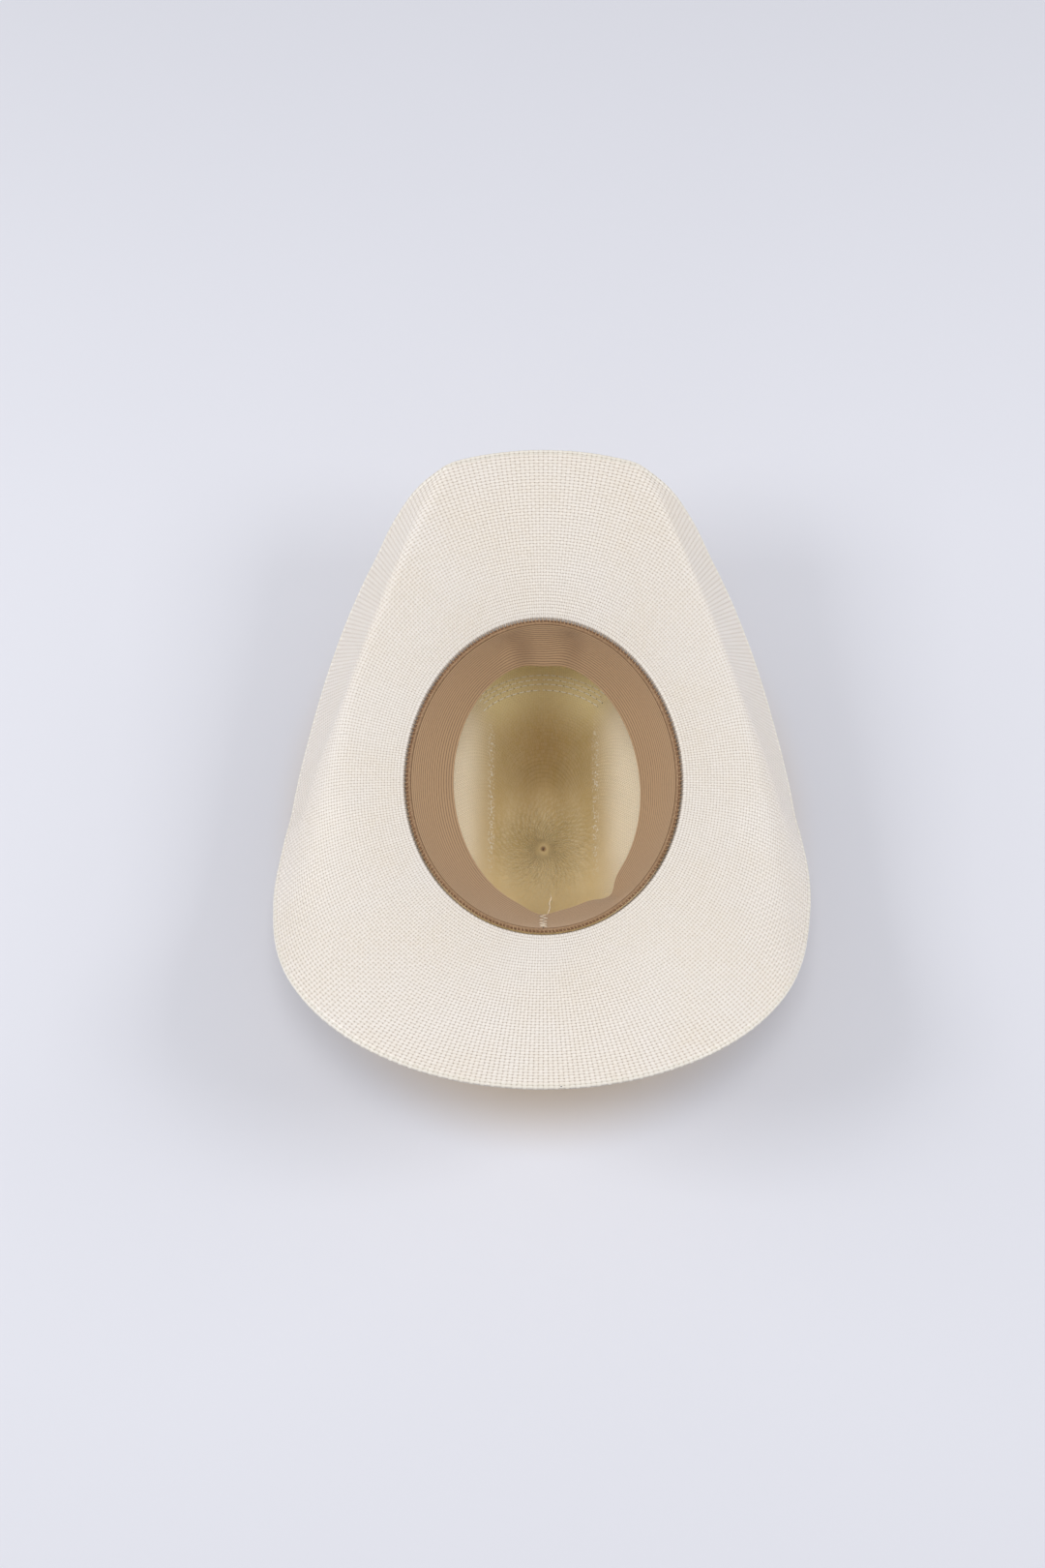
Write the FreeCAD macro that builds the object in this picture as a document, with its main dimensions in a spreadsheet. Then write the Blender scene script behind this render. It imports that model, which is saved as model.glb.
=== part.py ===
"""Straw western hat, set down on its crown: woven body, sweatband, hem and wire, hatband and buckle.

Millimetres, +Z up. The hat rests on its crown, so +Z points out of the head opening. The front of
the hat faces -Y. The origin is on the resting plane, under the middle of the head opening.
"""

import FreeCAD, Part
import math
import os
from FreeCAD import Placement, Rotation, Vector

document = FreeCAD.newDocument("straw_western_hat")
sheet = document.addObject("Spreadsheet::Sheet", "Sizes")

SIZES = {
    # head opening, measured on the middle of the straw
    "openingHalfWidth": 86.5,
    "openingHalfLength": 104.0,
    "breakHeight": 116.0,
    "breakSaddle": 5.0,
    "strawThickness": 1.8,
    # crown
    "crownDepth": 113.0,
    "crownSquareness": 2.9,
    "tipShift": 13.0,
    "crownFlattening": 3.0,
    "flatBlend": 3.0,
    "centreCreaseDepth": 6.0,
    "centreCreaseHalfWidth": 15.0,
    "sideDentPinch": 0.40,
    "standingOffset": 1.42,
    "sideDentTop": 92.0,
    "sideDentFloor": 20.0,
    # brim
    "brimWidth": 98.5,
    "brimCornerExtra": 10.0,
    "brimFrontDip": 22.0,
    "brimBackDip": 12.5,
    "creaseHalfWidth": 137.5,
    "creaseHalfLength": 271.0,
    "creaseMiddle": 15.0,
    "creaseSquareness": 1.42,
    "foldAngleTip": 40.0,
    "foldAngleNose": 52.0,
    "foldAngleShoulder": 60.0,
    "foldAngleFront": 64.0,
    "foldAngleSide": 65.0,
    "foldAngleRear": 42.0,
    "foldAngleBack": 14.0,
    "foldBias": 6.0,
    "foldBendFront": 14.0,
    "foldBendSide": 40.0,
    "foldBendBack": 70.0,
    # hem and wire in the edge of the brim
    "hemRadius": 1.7,
    "wireRadius": 0.8,
    "sleeveRadius": 1.25,
    "sleeveLength": 22.0,
    # sweatband
    "reedRadius": 1.2,
    "bandThickness": 0.9,
    "bandHalfWidthFree": 59.5,
    "bandHalfLengthFree": 83.5,
    "bandDrop": 28.0,
    "bandFreeShift": 2.0,
    "bandHollow": 1.6,
    "bandWiderAtFront": 4.5,
    "bandSideShift": 2.5,
    "bandSkew": 1.5,
    "rippleAngle": 219.0,
    "rippleSpread": 7.0,
    "rippleReach": 6.0,
    "seamReach": 3.0,
    "frontReach": 2.5,
    "reedDrop": 0.4,
    "seamGap": 0.4,
    "threadRadius": 0.3,
    "whipRadius": 0.45,
    "reedStitchCount": 150,
    "zigzagCount": 8,
    "zigzagReach": 2.2,
    "tapeWidth": 12.0,
    "tapeThickness": 0.5,
    "tapeGap": 0.12,
    # hatband on the outside of the crown
    "strapWidth": 19.0,
    "strapThickness": 1.8,
    "strapTopTurn": 5.0,
    "strapBottomTurn": 14.0,
    "strapGap": 1.7,
    "buckleAngle": 236.0,
    "buckleHeight": 28.0,
    "buckleLength": 22.0,
    "buckleBar": 3.0,
    "buckleThickness": 4.0,
    "buckleCorner": 4.0,
    "buckleStandOff": 0.3,
    "pinRadius": 0.9,
    "pinInset": 6.0,
    "prongRingRadius": 1.9,
    "prongBore": 1.15,
    "prongRingLength": 4.0,
    "prongRadius": 0.8,
    "prongLength": 15.5,
    "keeperWall": 0.9,
    "keeperLength": 6.0,
    "keeperOffset": 21.0,
    "keeperGap": 0.6,
    "keeperSlack": 1.4,
    "billetGap": 0.1,
    "billetLength": 44.0,
    "tipLength": 12.0,
}
for row, (name, value) in enumerate(SIZES.items(), start=1):
    sheet.set("A%d" % row, name)
    sheet.set("B%d" % row, str(value))
    sheet.setAlias("B%d" % row, name)
document.recompute()


def size(name):
    """The value of a spreadsheet cell."""
    return float(sheet.get(name))


COLUMNS = 96
# from front to back: the places where the fold in the brim's sides has the angles and bends named here
FOLD_PLACES = (-180.0, -150.0, -125.0, -60.0, 0.0, 60.0, 120.0, 230.0)
FOLD_ANGLES = ("Tip", "Nose", "Shoulder", "Front", "Side", "Rear", "Back")
FOLD_BENDS = ("Front", "Front", "Front", "Front", "Side", "Back", "Back", "Back")
# from front to back: where a dent or bias begins, is full, starts to fade and has ended
SIDE_DENT_RUN = (-88.0, -30.0, 15.0, 85.0)
CENTRE_CREASE_RUN = (-66.0, -30.0, 40.0, 78.0)
FOLD_BIAS_RUN = (30.0, 110.0, 170.0, 225.0)
# heights between which the centre crease fades out up the crown's end walls
CREASE_FADE = (10.0, 30.0)


def smooth(value, start, end):
    """0 before start, 1 after end, and an even S between them."""
    t = min(max((value - start) / (end - start), 0.0), 1.0)
    return t * t * (3.0 - 2.0 * t)


def plateau(value, run):
    """1 between the middle two places of a run, falling evenly to 0 at its ends."""
    start, full, fade, end = run
    return smooth(value, start, full) * (1 - smooth(value, fade, end))


def between(value, places, amounts):
    """Smooth interpolation through (place, amount) pairs, with no overshoot."""
    last = len(places) - 1
    if value <= places[0]:
        return amounts[0]
    if value >= places[last]:
        return amounts[last]
    slopes = [(amounts[k + 1] - amounts[k]) / (places[k + 1] - places[k]) for k in range(last)]
    tangents = [0.0] + [
        0.0 if slopes[k - 1] * slopes[k] <= 0 else 2 * slopes[k - 1] * slopes[k] / (slopes[k - 1] + slopes[k])
        for k in range(1, last)
    ] + [0.0]
    k = max(index for index in range(last) if places[index] <= value)
    span = places[k + 1] - places[k]
    t = (value - places[k]) / span
    return (
        amounts[k] * (1 + 2 * t) * (1 - t) ** 2 + amounts[k + 1] * t * t * (3 - 2 * t)
        + span * (tangents[k] * t * (1 - t) ** 2 - tangents[k + 1] * t * t * (1 - t))
    )


def opening(angle):
    """Point and outward normal of the head opening's oval. Angle 0 is the front."""
    a, b = size("openingHalfWidth"), size("openingHalfLength")
    point = Vector(a * math.sin(angle), -b * math.cos(angle), 0)
    normal = Vector(b * math.sin(angle), -a * math.cos(angle), 0)
    return point, normal.normalize()


def break_height(angle):
    """Height of the line where the brim meets the crown: it dips at the sides."""
    return size("breakHeight") + size("breakSaddle") * math.cos(2 * angle)


def crown_point(angle, turn):
    """Middle of the straw on the crown. Turn goes from 0 at the brim to 90 degrees at the tip."""
    squareness = size("crownSquareness")
    depth = size("crownDepth")
    reach = (math.cos(turn) ** squareness + math.sin(turn) ** squareness) ** (1 / squareness)
    scale = math.cos(turn) / reach
    down = math.sin(turn) / reach
    oval, _ = opening(angle)
    x = oval.x * scale
    y = oval.y * scale + size("tipShift") * down**1.5
    z = depth * (1 - down)
    # the top is pressed flat, so that the ridges stand on the table
    over = z - size("crownFlattening")
    z = (over + math.hypot(over, size("flatBlend"))) / 2
    # side dents: the crown narrows towards its top, most in the middle and the front
    pinch = 1 - smooth(z, size("sideDentFloor"), size("sideDentTop"))
    x *= 1 - plateau(y, SIDE_DENT_RUN) * size("sideDentPinch") * pinch
    # centre crease
    across = math.exp(-((x / size("centreCreaseHalfWidth")) ** 2))
    z += size("centreCreaseDepth") * across * plateau(y, CENTRE_CREASE_RUN) * (1 - smooth(z, *CREASE_FADE))
    lift = (break_height(angle) - depth) * (1 - down) ** 2 - size("standingOffset")
    return Vector(x, y, z + lift)


def crease_distance(point):
    """Below 0 inside the line along which the brim's sides are folded, above 0 outside it."""
    across = abs(point.x / size("creaseHalfWidth")) ** size("creaseSquareness")
    along = abs((point.y - size("creaseMiddle")) / size("creaseHalfLength")) ** size("creaseSquareness")
    return across + along - 1


def crease_normal(point):
    """Outward direction of the fold line at one of its points."""
    power = size("creaseSquareness") - 1
    wide, long = size("creaseHalfWidth"), size("creaseHalfLength")
    y = point.y - size("creaseMiddle")
    across = math.copysign(abs(point.x / wide) ** power / wide, point.x)
    along = math.copysign(abs(y / long) ** power / long, y)
    return Vector(across, along, 0).normalize()


def brim_width(angle):
    return size("brimWidth") + size("brimCornerExtra") * math.sin(2 * angle) ** 2


def brim_point(angle, distance):
    """Middle of the straw on the brim, at a distance from the opening measured on the flat brim."""
    start, outward = opening(angle)
    # the fold is looked for between the opening and a place well beyond the brim, by halving
    near, far = 0.0, 400.0
    for _ in range(40):
        middle = (near + far) / 2
        if crease_distance(start + outward * middle) < 0:
            near = middle
        else:
            far = middle
    fold = start + outward * near
    forward = math.cos(angle)
    dip = size("brimFrontDip") if forward > 0 else size("brimBackDip")
    slope = math.tan(math.radians(dip)) * forward**2
    height = break_height(angle) + slope * distance - size("standingOffset")
    bias = size("foldBias") * math.sin(angle) * plateau(fold.y, FOLD_BIAS_RUN)
    turns = [size("foldAngle" + zone) for zone in FOLD_ANGLES] + [0.0]
    turn = math.radians(max(between(fold.y, FOLD_PLACES, turns) - bias, 0.0))
    bend = between(fold.y, FOLD_PLACES, [size("foldBend" + zone) for zone in FOLD_BENDS])
    across = crease_normal(fold)
    past = (distance - near) * outward.dot(across)
    if turn < 0.01 or past <= -bend / 2:
        flat = start + outward * distance
        return Vector(flat.x, flat.y, height)
    radius = bend / turn
    arc = min(past + bend / 2, bend) / radius
    rest = max(past - bend / 2, 0.0)
    reach = -bend / 2 + radius * math.sin(arc) + rest * math.cos(turn)
    drop = radius * (1 - math.cos(arc)) + rest * math.sin(turn)
    tangent = Vector(-across.y, across.x, 0)
    sideways = (distance - near) * outward.dot(tangent)
    place = fold + tangent * sideways + across * reach
    return Vector(place.x, place.y, height - drop)


def brim_edge(angle, inset):
    """Middle of the straw at the edge of the brim, or a little inside it."""
    return brim_point(angle, brim_width(angle) - inset)


def straw_point(angle, station):
    """Middle of the straw. Stations below 0 are on the crown, in degrees from the brim."""
    if station < 0:
        return crown_point(angle, math.radians(-station))
    return brim_point(angle, station * (brim_width(angle) - size("hemRadius")))


def straw_normal(angle, station):
    """Unit normal of the straw, towards the inside of the crown and the underside of the brim."""
    step, small = 0.004, (0.3 if station < 0 else 0.004)
    along = straw_point(angle, station + small) - straw_point(angle, station - small)
    round_ = straw_point(angle + step, station) - straw_point(angle - step, station)
    return along.cross(round_).normalize() * -1


def ring(count):
    return [2 * math.pi * k / count for k in range(count)]


def closed_solid(net):
    """Solid inside a smooth surface that closes on itself both ways, through a net of rows of points."""
    rows, columns = len(net), len(net[0])
    surface = Part.BSplineSurface()
    surface.buildFromPolesMultsKnots(
        net,
        [1] * (rows + 1), [1] * (columns + 1),
        [float(k) for k in range(rows + 1)], [float(k) for k in range(columns + 1)],
        True, True, 3, 3,
    )
    solid = Part.Solid(Part.Shell([surface.toShape()]))
    if solid.Volume < 0:
        solid.reverse()
    return solid


def loft(sections):
    """Solid through a row of sections, each a closed chain of corners."""
    wires = [Part.makePolygon(corners + corners[:1]) for corners in sections]
    return Part.makeLoft(wires, True, False)


def add_feature(label, shape, placement=None):
    """A sub-part whose shape is computed."""
    feature = document.addObject("Part::Feature", label)
    feature.Label = label
    feature.Shape = shape
    feature.Placement = placement or Placement()
    return feature


def tube(path, radius, sides=8):
    """Net of a round tube along a closed path of points."""
    # a smooth ring runs inside its control points by this share
    pull = (2 + math.cos(2 * math.pi / sides)) / 3
    net = []
    for k, place in enumerate(path):
        forward = (path[(k + 1) % len(path)] - path[k - 1]).normalize()
        side = forward.cross(Vector(0, 0, 1)).normalize()
        up = side.cross(forward)
        section = [side * math.cos(turn) + up * math.sin(turn) for turn in ring(sides)]
        net.append([place + direction * (radius / pull) for direction in section])
    return net


# ---------------------------------------------------------------------------- straw body

CROWN_STATIONS = [-88.9, -86.5, -83, -79, -75, -71, -67, -63, -59, -55, -51, -47, -43, -39, -35, -31,
                  -27, -23, -19, -15, -11, -7.5, -4.5, -2.2]
BRIM_STATIONS = [0.022, 0.045, 0.085] + [0.085 + 0.905 * k / 22 for k in range(1, 23)]


def make_straw_body():
    half = size("strawThickness") / 2
    stations = CROWN_STATIONS + BRIM_STATIONS
    net_inside, net_outside, tip, edge = [], [], [], []
    for station in stations:
        inside, outside = [], []
        for angle in ring(COLUMNS):
            middle = straw_point(angle, station)
            normal = straw_normal(angle, station)
            inside.append(middle + normal * half)
            outside.append(middle - normal * half)
        net_inside.append(inside)
        net_outside.append(outside)
    for angle in ring(COLUMNS):
        edge.append(brim_edge(angle, size("hemRadius") * 0.7))
        first = straw_point(angle, stations[0])
        centre = Vector(0, size("tipShift"), first.z)
        tip.append(centre + (first - centre) * 0.8)
    net = [tip] + net_inside + [edge] + net_outside[::-1]
    return add_feature("straw_body", closed_solid(net))


straw_body = make_straw_body()

# ---------------------------------------------------------------------------- hem and wire

EDGE_COLUMNS = 180
edge_path = [brim_edge(angle, 0.0) for angle in ring(EDGE_COLUMNS)]
wire_solid = closed_solid(tube(edge_path, size("wireRadius")))
bore_solid = closed_solid(tube(edge_path, size("wireRadius") + 0.05))
brim_hem = add_feature("brim_hem", closed_solid(tube(edge_path, size("hemRadius"))).cut(bore_solid))
brim_wire = add_feature("brim_wire", wire_solid)


def make_wire_sleeve():
    """Short tube that joins the two ends of the wire at the back of the brim."""
    outer = document.addObject("Part::Cylinder", "SleeveOuter")
    outer.setExpression("Radius", "Sizes.sleeveRadius")
    outer.setExpression("Height", "Sizes.sleeveLength")
    inner = document.addObject("Part::Cylinder", "SleeveBore")
    inner.setExpression("Radius", "Sizes.wireRadius + 0.1")
    inner.setExpression("Height", "Sizes.sleeveLength")
    sleeve = document.addObject("Part::Cut", "wire_sleeve")
    sleeve.Label = "wire_sleeve"
    sleeve.Base, sleeve.Tool = outer, inner
    back = brim_edge(math.pi, 0.0)
    start = back - Vector(size("sleeveLength") / 2, 0, 0)
    sleeve.Placement = Placement(start, Rotation(Vector(0, 0, 1), Vector(1, 0, 0)))
    return sleeve


wire_sleeve = make_wire_sleeve()

# ---------------------------------------------------------------------------- sweatband

SEAM_ANGLE, FRONT_ANGLE = 178.0, 0.0
SEAM_SPREAD, FRONT_SPREAD = 10.0, 9.0


def bump(angle, middle, spread):
    """1 at an angle and falling to 0 beside it, both in degrees; angle is in radians."""
    away = (math.degrees(angle) - middle + 180.0) % 360.0 - 180.0
    return math.exp(-((away / spread) ** 2))


def band_top(angle):
    """Middle of the sweatband where it is sewn to the reed."""
    point, outward = opening(angle)
    return point - outward * (size("strawThickness") / 2 + 2 * size("reedRadius")) \
        + Vector(0, 0, break_height(angle) - size("standingOffset") - size("reedDrop"))


def band_free(angle):
    """Middle of the sweatband at its free edge: an uneven oval, with a ripple beside the seam."""
    across, along = size("bandHalfWidthFree"), size("bandHalfLengthFree")
    point = Vector(across * math.sin(angle), size("bandFreeShift") - along * math.cos(angle), 0)
    outward = Vector(along * math.sin(angle), -across * math.cos(angle), 0).normalize()
    reach = (
        size("bandWiderAtFront") * math.cos(angle) - size("bandSideShift") * math.sin(angle)
        + size("bandSkew") * math.sin(2 * angle)
        + size("rippleReach") * bump(angle, size("rippleAngle"), size("rippleSpread"))
        + size("seamReach") * bump(angle, SEAM_ANGLE, SEAM_SPREAD)
        - size("frontReach") * bump(angle, FRONT_ANGLE, FRONT_SPREAD)
    )
    point += outward * reach
    return point + Vector(0, 0, break_height(angle) - size("standingOffset") - size("bandDrop"))


def band_point(angle, share):
    """Middle of the sweatband, from the reed at 0 to the free edge at 1, slightly hollow between."""
    top, free = band_top(angle), band_free(angle)
    outward = opening(angle)[1]
    hollow = size("bandHollow") * math.sin(math.pi * share)
    return top + (free - top) * share + outward * hollow


def band_normal(angle):
    """Direction out of the sweatband's worn face, inward and up."""
    down = (band_free(angle) - band_top(angle)).normalize()
    round_ = (band_top(angle + 0.01) - band_top(angle - 0.01)).normalize()
    return round_.cross(down).normalize()


BAND_SHARES = [0.0, 0.03, 0.18, 0.36, 0.54, 0.72, 0.88, 0.97, 1.0]


def make_sweatband():
    half = size("bandThickness") / 2
    front, back = [], []
    for share in BAND_SHARES:
        front.append([band_point(angle, share) + band_normal(angle) * half for angle in ring(COLUMNS)])
        back.append([band_point(angle, share) - band_normal(angle) * half for angle in ring(COLUMNS)])
    solid = closed_solid(front + back[::-1])
    gap = size("seamGap")
    # the cut runs through the back half of the band only
    tall = size("breakHeight")
    seam = Part.makeBox(gap, size("openingHalfLength"), tall, Vector(-gap / 2, 30, tall / 2))
    return add_feature("sweatband", solid.cut(seam))


sweatband = make_sweatband()

reed_path = [
    band_top(angle) + opening(angle)[1] * (size("reedRadius") * 0.9 + size("bandThickness") / 2)
    for angle in ring(COLUMNS)
]
sweatband_reed = add_feature("sweatband_reed", closed_solid(tube(reed_path, size("reedRadius"))))


def thread(name, start, end, radius):
    """Straight piece of thread between two points. Radius is the name of a spreadsheet cell."""
    piece = document.addObject("Part::Cylinder", name)
    piece.setExpression("Radius", "Sizes." + radius)
    piece.Height = (end - start).Length
    piece.Placement = Placement(start, Rotation(Vector(0, 0, 1), end - start))
    return piece


def add_threads(label, threads, kind="Part::Compound"):
    """A sub-part made of several pieces of thread."""
    group = document.addObject(kind, label)
    group.Label = label
    if kind == "Part::Compound":
        group.Links = threads
    else:
        group.Shapes = threads
    return group


# how far out from the sweatband's top the whip stitches start and end, and how high they lie there
WHIP_INNER = (1.6, 1.35)
WHIP_OUTER = (4.6, 1.9)


def make_reed_stitching():
    """Whip stitches that go from the reed over to the straw, slanting, all the way round."""
    count = int(size("reedStitchCount"))
    stitches = []
    for k in range(count):
        ends = []
        for step, (reach, lift) in ((0.0, WHIP_INNER), (0.5, WHIP_OUTER)):
            angle = 2 * math.pi * (k + step) / count
            ends.append(band_top(angle) + opening(angle)[1] * reach + Vector(0, 0, lift))
        stitches.append(thread("Whip%d" % k, *ends, "whipRadius"))
    return add_threads("reed_stitching", stitches)


reed_stitching = make_reed_stitching()


def make_seam_stitches():
    """Zigzag that joins the two ends of the sweatband at the back."""
    count = int(size("zigzagCount"))
    lift = band_normal(math.pi) * (size("bandThickness") / 2 + size("threadRadius") * 0.8)
    corners = []
    for k in range(count + 1):
        place = band_point(math.pi, 0.06 + 0.88 * k / count) + lift
        side = size("zigzagReach") if k % 2 else -size("zigzagReach")
        corners.append(place + Vector(side, 0, 0))
    stitches = [thread("Zig%d" % k, corners[k], corners[k + 1], "threadRadius") for k in range(count)]
    return add_threads("seam_stitches", stitches, "Part::MultiFuse")


seam_stitches = make_seam_stitches()


def make_seam_tape():
    """Thin tape glued behind the seam of the sweatband, as curved as the band is."""
    inner = size("bandThickness") / 2 + size("tapeGap")
    outer = inner + size("tapeThickness")
    turn = size("tapeWidth") / size("openingHalfWidth")
    across = [math.pi + turn * (k / 6 - 0.5) for k in range(7)]
    side = Vector(1, 0, 0)
    out = band_normal(math.pi) * -1
    sections = []
    for share in (0.15, 0.3, 0.45, 0.6, 0.75, 0.9):
        middle = band_point(math.pi, share)
        offsets = [band_point(angle, share) - middle for angle in across]
        near = [middle + side * offset.x + out * (offset.dot(out) + inner) for offset in offsets]
        far = [middle + side * offset.x + out * (offset.dot(out) + outer) for offset in offsets]
        sections.append(near + far[::-1])
    return add_feature("seam_tape", loft(sections))


seam_tape = make_seam_tape()

# ---------------------------------------------------------------------------- hatband


def strap_frame(angle, height_share=0.5):
    """Point on the middle of the straw under the strap, with its outward and upward directions."""
    turn = math.radians(
        size("strapTopTurn") * height_share + size("strapBottomTurn") * (1 - height_share)
    )
    point = crown_point(angle, turn)
    rise = (crown_point(angle, turn - 0.05) - crown_point(angle, turn + 0.05)).normalize()
    round_ = (crown_point(angle + 0.02, turn) - crown_point(angle - 0.02, turn)).normalize()
    outward = round_.cross(rise).normalize()
    if outward.dot(Vector(point.x, point.y, 0)) < 0:
        outward *= -1
    return point, outward, rise


def strap_corner(angle, height_share, depth):
    """A point on the strap: depth is measured outward from the straw's outer face."""
    point, outward, _ = strap_frame(angle, height_share)
    return point + outward * (size("strawThickness") / 2 + depth)


def make_hatband_strap():
    low, high = size("strapGap"), size("strapGap") + size("strapThickness")
    shares = (0.0, 0.04, 0.35, 0.65, 0.96, 1.0)
    net = [[strap_corner(angle, share, low) for angle in ring(COLUMNS)] for share in shares]
    net += [[strap_corner(angle, share, high) for angle in ring(COLUMNS)] for share in shares[::-1]]
    return add_feature("hatband_strap", closed_solid(net))


hatband_strap = make_hatband_strap()


def make_buckle_placement():
    """Frame of the buckle: X along the strap, Y up the strap, Z outward from the strap's face."""
    angle = math.radians(size("buckleAngle"))
    point, outward, rise = strap_frame(angle)
    side = rise.cross(outward)
    place = point + outward * (size("strawThickness") / 2 + size("strapGap") + size("strapThickness"))
    turn = FreeCAD.Matrix(side.x, rise.x, outward.x, 0, side.y, rise.y, outward.y, 0,
                          side.z, rise.z, outward.z, 0, 0, 0, 0, 1)
    return Placement(place, Placement(turn).Rotation)


buckle_place = make_buckle_placement()


def rounded_rectangle(sketch, length, height, corner):
    """Four lines and four arcs, centred on the sketch's origin."""
    x, y = length / 2, height / 2
    normal = Vector(0, 0, 1)
    for sx, sy, start in ((1, 1, 0), (-1, 1, 90), (-1, -1, 180), (1, -1, 270)):
        circle = Part.Circle(Vector(sx * (x - corner), sy * (y - corner), 0), normal, corner)
        sketch.addGeometry(Part.ArcOfCircle(circle, math.radians(start), math.radians(start + 90)), False)
    for ends in (
        ((x - corner, y), (-(x - corner), y)), ((-x, y - corner), (-x, -(y - corner))),
        ((-(x - corner), -y), (x - corner, -y)), ((x, -(y - corner)), (x, y - corner)),
    ):
        sketch.addGeometry(Part.LineSegment(Vector(*ends[0], 0), Vector(*ends[1], 0)), False)


def make_buckle_frame():
    body = document.addObject("PartDesign::Body", "buckle_frame")
    body.Label = "buckle_frame"
    plane = next(item for item in body.Origin.OriginFeatures if item.Role == "XY_Plane")
    sketch = body.newObject("Sketcher::SketchObject", "FrameOutline")
    sketch.AttachmentSupport = (plane, [""])
    sketch.MapMode = "FlatFace"
    length, height, bar = size("buckleLength"), size("buckleHeight"), size("buckleBar")
    rounded_rectangle(sketch, length, height, size("buckleCorner"))
    rounded_rectangle(sketch, length - 2 * bar, height - 2 * bar, size("buckleCorner") / 2)
    pad = body.newObject("PartDesign::Pad", "FramePad")
    pad.Profile = sketch
    pad.setExpression("Length", "Sizes.buckleThickness")
    document.recompute()
    top = [
        "Edge%d" % (k + 1) for k, edge in enumerate(pad.Shape.Edges)
        if abs(edge.BoundBox.ZMin - size("buckleThickness")) < 1e-3 and edge.BoundBox.ZLength < 1e-3
    ]
    fillet = body.newObject("PartDesign::Fillet", "FrameRounding")
    fillet.Base = (pad, top)
    fillet.Radius = 1.0
    body.Tip = fillet
    body.Placement = buckle_place.multiply(Placement(Vector(0, 0, size("buckleStandOff")), Rotation()))
    return body


buckle_frame = make_buckle_frame()
pin_x = -size("buckleLength") / 2 + size("pinInset")
pin_z = size("buckleStandOff") + size("buckleThickness") / 2


def make_buckle_pin():
    pin = document.addObject("Part::Cylinder", "buckle_pin")
    pin.Label = "buckle_pin"
    pin.setExpression("Radius", "Sizes.pinRadius")
    pin.setExpression("Height", "Sizes.buckleHeight - 2 * Sizes.buckleBar + 2")
    start = Vector(pin_x, -(size("buckleHeight") / 2 - size("buckleBar") + 1), pin_z)
    pin.Placement = buckle_place.multiply(Placement(start, Rotation(Vector(0, 0, 1), Vector(0, 1, 0))))
    return pin


buckle_pin = make_buckle_pin()


def make_buckle_prong():
    """Ring on the pin, and a straight tapered prong that lies over the far bar of the frame."""
    along = Rotation(Vector(0, 0, 1), Vector(0, 1, 0))
    ring_start = Vector(pin_x, -size("prongRingLength") / 2, pin_z)
    outer = document.addObject("Part::Cylinder", "ProngRing")
    outer.setExpression("Radius", "Sizes.prongRingRadius")
    outer.setExpression("Height", "Sizes.prongRingLength")
    outer.Placement = Placement(ring_start, along)
    bore = document.addObject("Part::Cylinder", "ProngBore")
    bore.setExpression("Radius", "Sizes.prongBore")
    bore.setExpression("Height", "Sizes.prongRingLength")
    bore.Placement = Placement(ring_start, along)
    rise = size("buckleThickness") / 2 + size("prongRadius") + 0.35
    reach = size("buckleLength") / 2 - size("buckleBar") / 2 - pin_x
    direction = Vector(reach, 0, rise).normalize()
    shaft = document.addObject("Part::Cone", "ProngShaft")
    shaft.setExpression("Radius1", "Sizes.prongRadius * 1.25")
    shaft.setExpression("Radius2", "Sizes.prongRadius * 0.75")
    shaft.setExpression("Height", "Sizes.prongLength")
    shaft_start = Vector(pin_x, 0, pin_z) + direction * 1.2
    shaft.Placement = Placement(shaft_start, Rotation(Vector(0, 0, 1), direction))
    joined = document.addObject("Part::MultiFuse", "ProngJoined")
    joined.Shapes = [outer, shaft]
    prong = document.addObject("Part::Cut", "buckle_prong")
    prong.Label = "buckle_prong"
    prong.Base, prong.Tool = joined, bore
    prong.Placement = buckle_place
    return prong


buckle_prong = make_buckle_prong()


def strip_on_strap(start, length, inner, outer, height, steps):
    """Curved strip that lies over the strap, between two depths, from a distance along the strap."""
    angle = math.radians(size("buckleAngle"))
    radius = (strap_corner(angle + 0.1, 0.5, inner) - strap_corner(angle - 0.1, 0.5, inner)).Length / 0.2
    sections = []
    for k in range(steps + 1):
        here = angle - (start + length * k / steps) / radius
        point, outward, rise = strap_frame(here)
        face = point + outward * (size("strawThickness") / 2)
        sections.append([
            face + outward * inner - rise * (height / 2), face + outward * outer - rise * (height / 2),
            face + outward * outer + rise * (height / 2), face + outward * inner + rise * (height / 2),
        ])
    return loft(sections)


# depths and places of the strap's loose end, a little narrower than the strap
billet_back = size("strapGap") + size("strapThickness") + size("billetGap")
billet_face = billet_back + size("strapThickness")
billet_start = size("buckleLength") / 2 + 0.6
billet_end = billet_start + size("billetLength")
strap_billet = add_feature("strap_billet", strip_on_strap(
    billet_start, size("billetLength"), billet_back, billet_face, size("strapWidth") - 1.0, 10))
strap_tip = add_feature("strap_tip", strip_on_strap(
    billet_end + 0.1, size("tipLength"), billet_back, billet_face + 0.2, size("strapWidth") - 0.6, 4))


def make_keeper_loop():
    """Metal loop round the strap and its loose end, next to the buckle."""
    wall, length = size("keeperWall"), size("keeperLength")
    outer_face = billet_face + 0.2
    start = size("keeperOffset")
    tall = size("strapWidth") + size("keeperSlack")
    gap = size("keeperGap")
    outer = strip_on_strap(start, length, gap, outer_face + wall, tall + 2 * wall, 2)
    inner = strip_on_strap(start - 1, length + 2, gap + wall, outer_face, tall, 2)
    return add_feature("keeper_loop", outer.cut(inner))


keeper_loop = make_keeper_loop()


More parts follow.
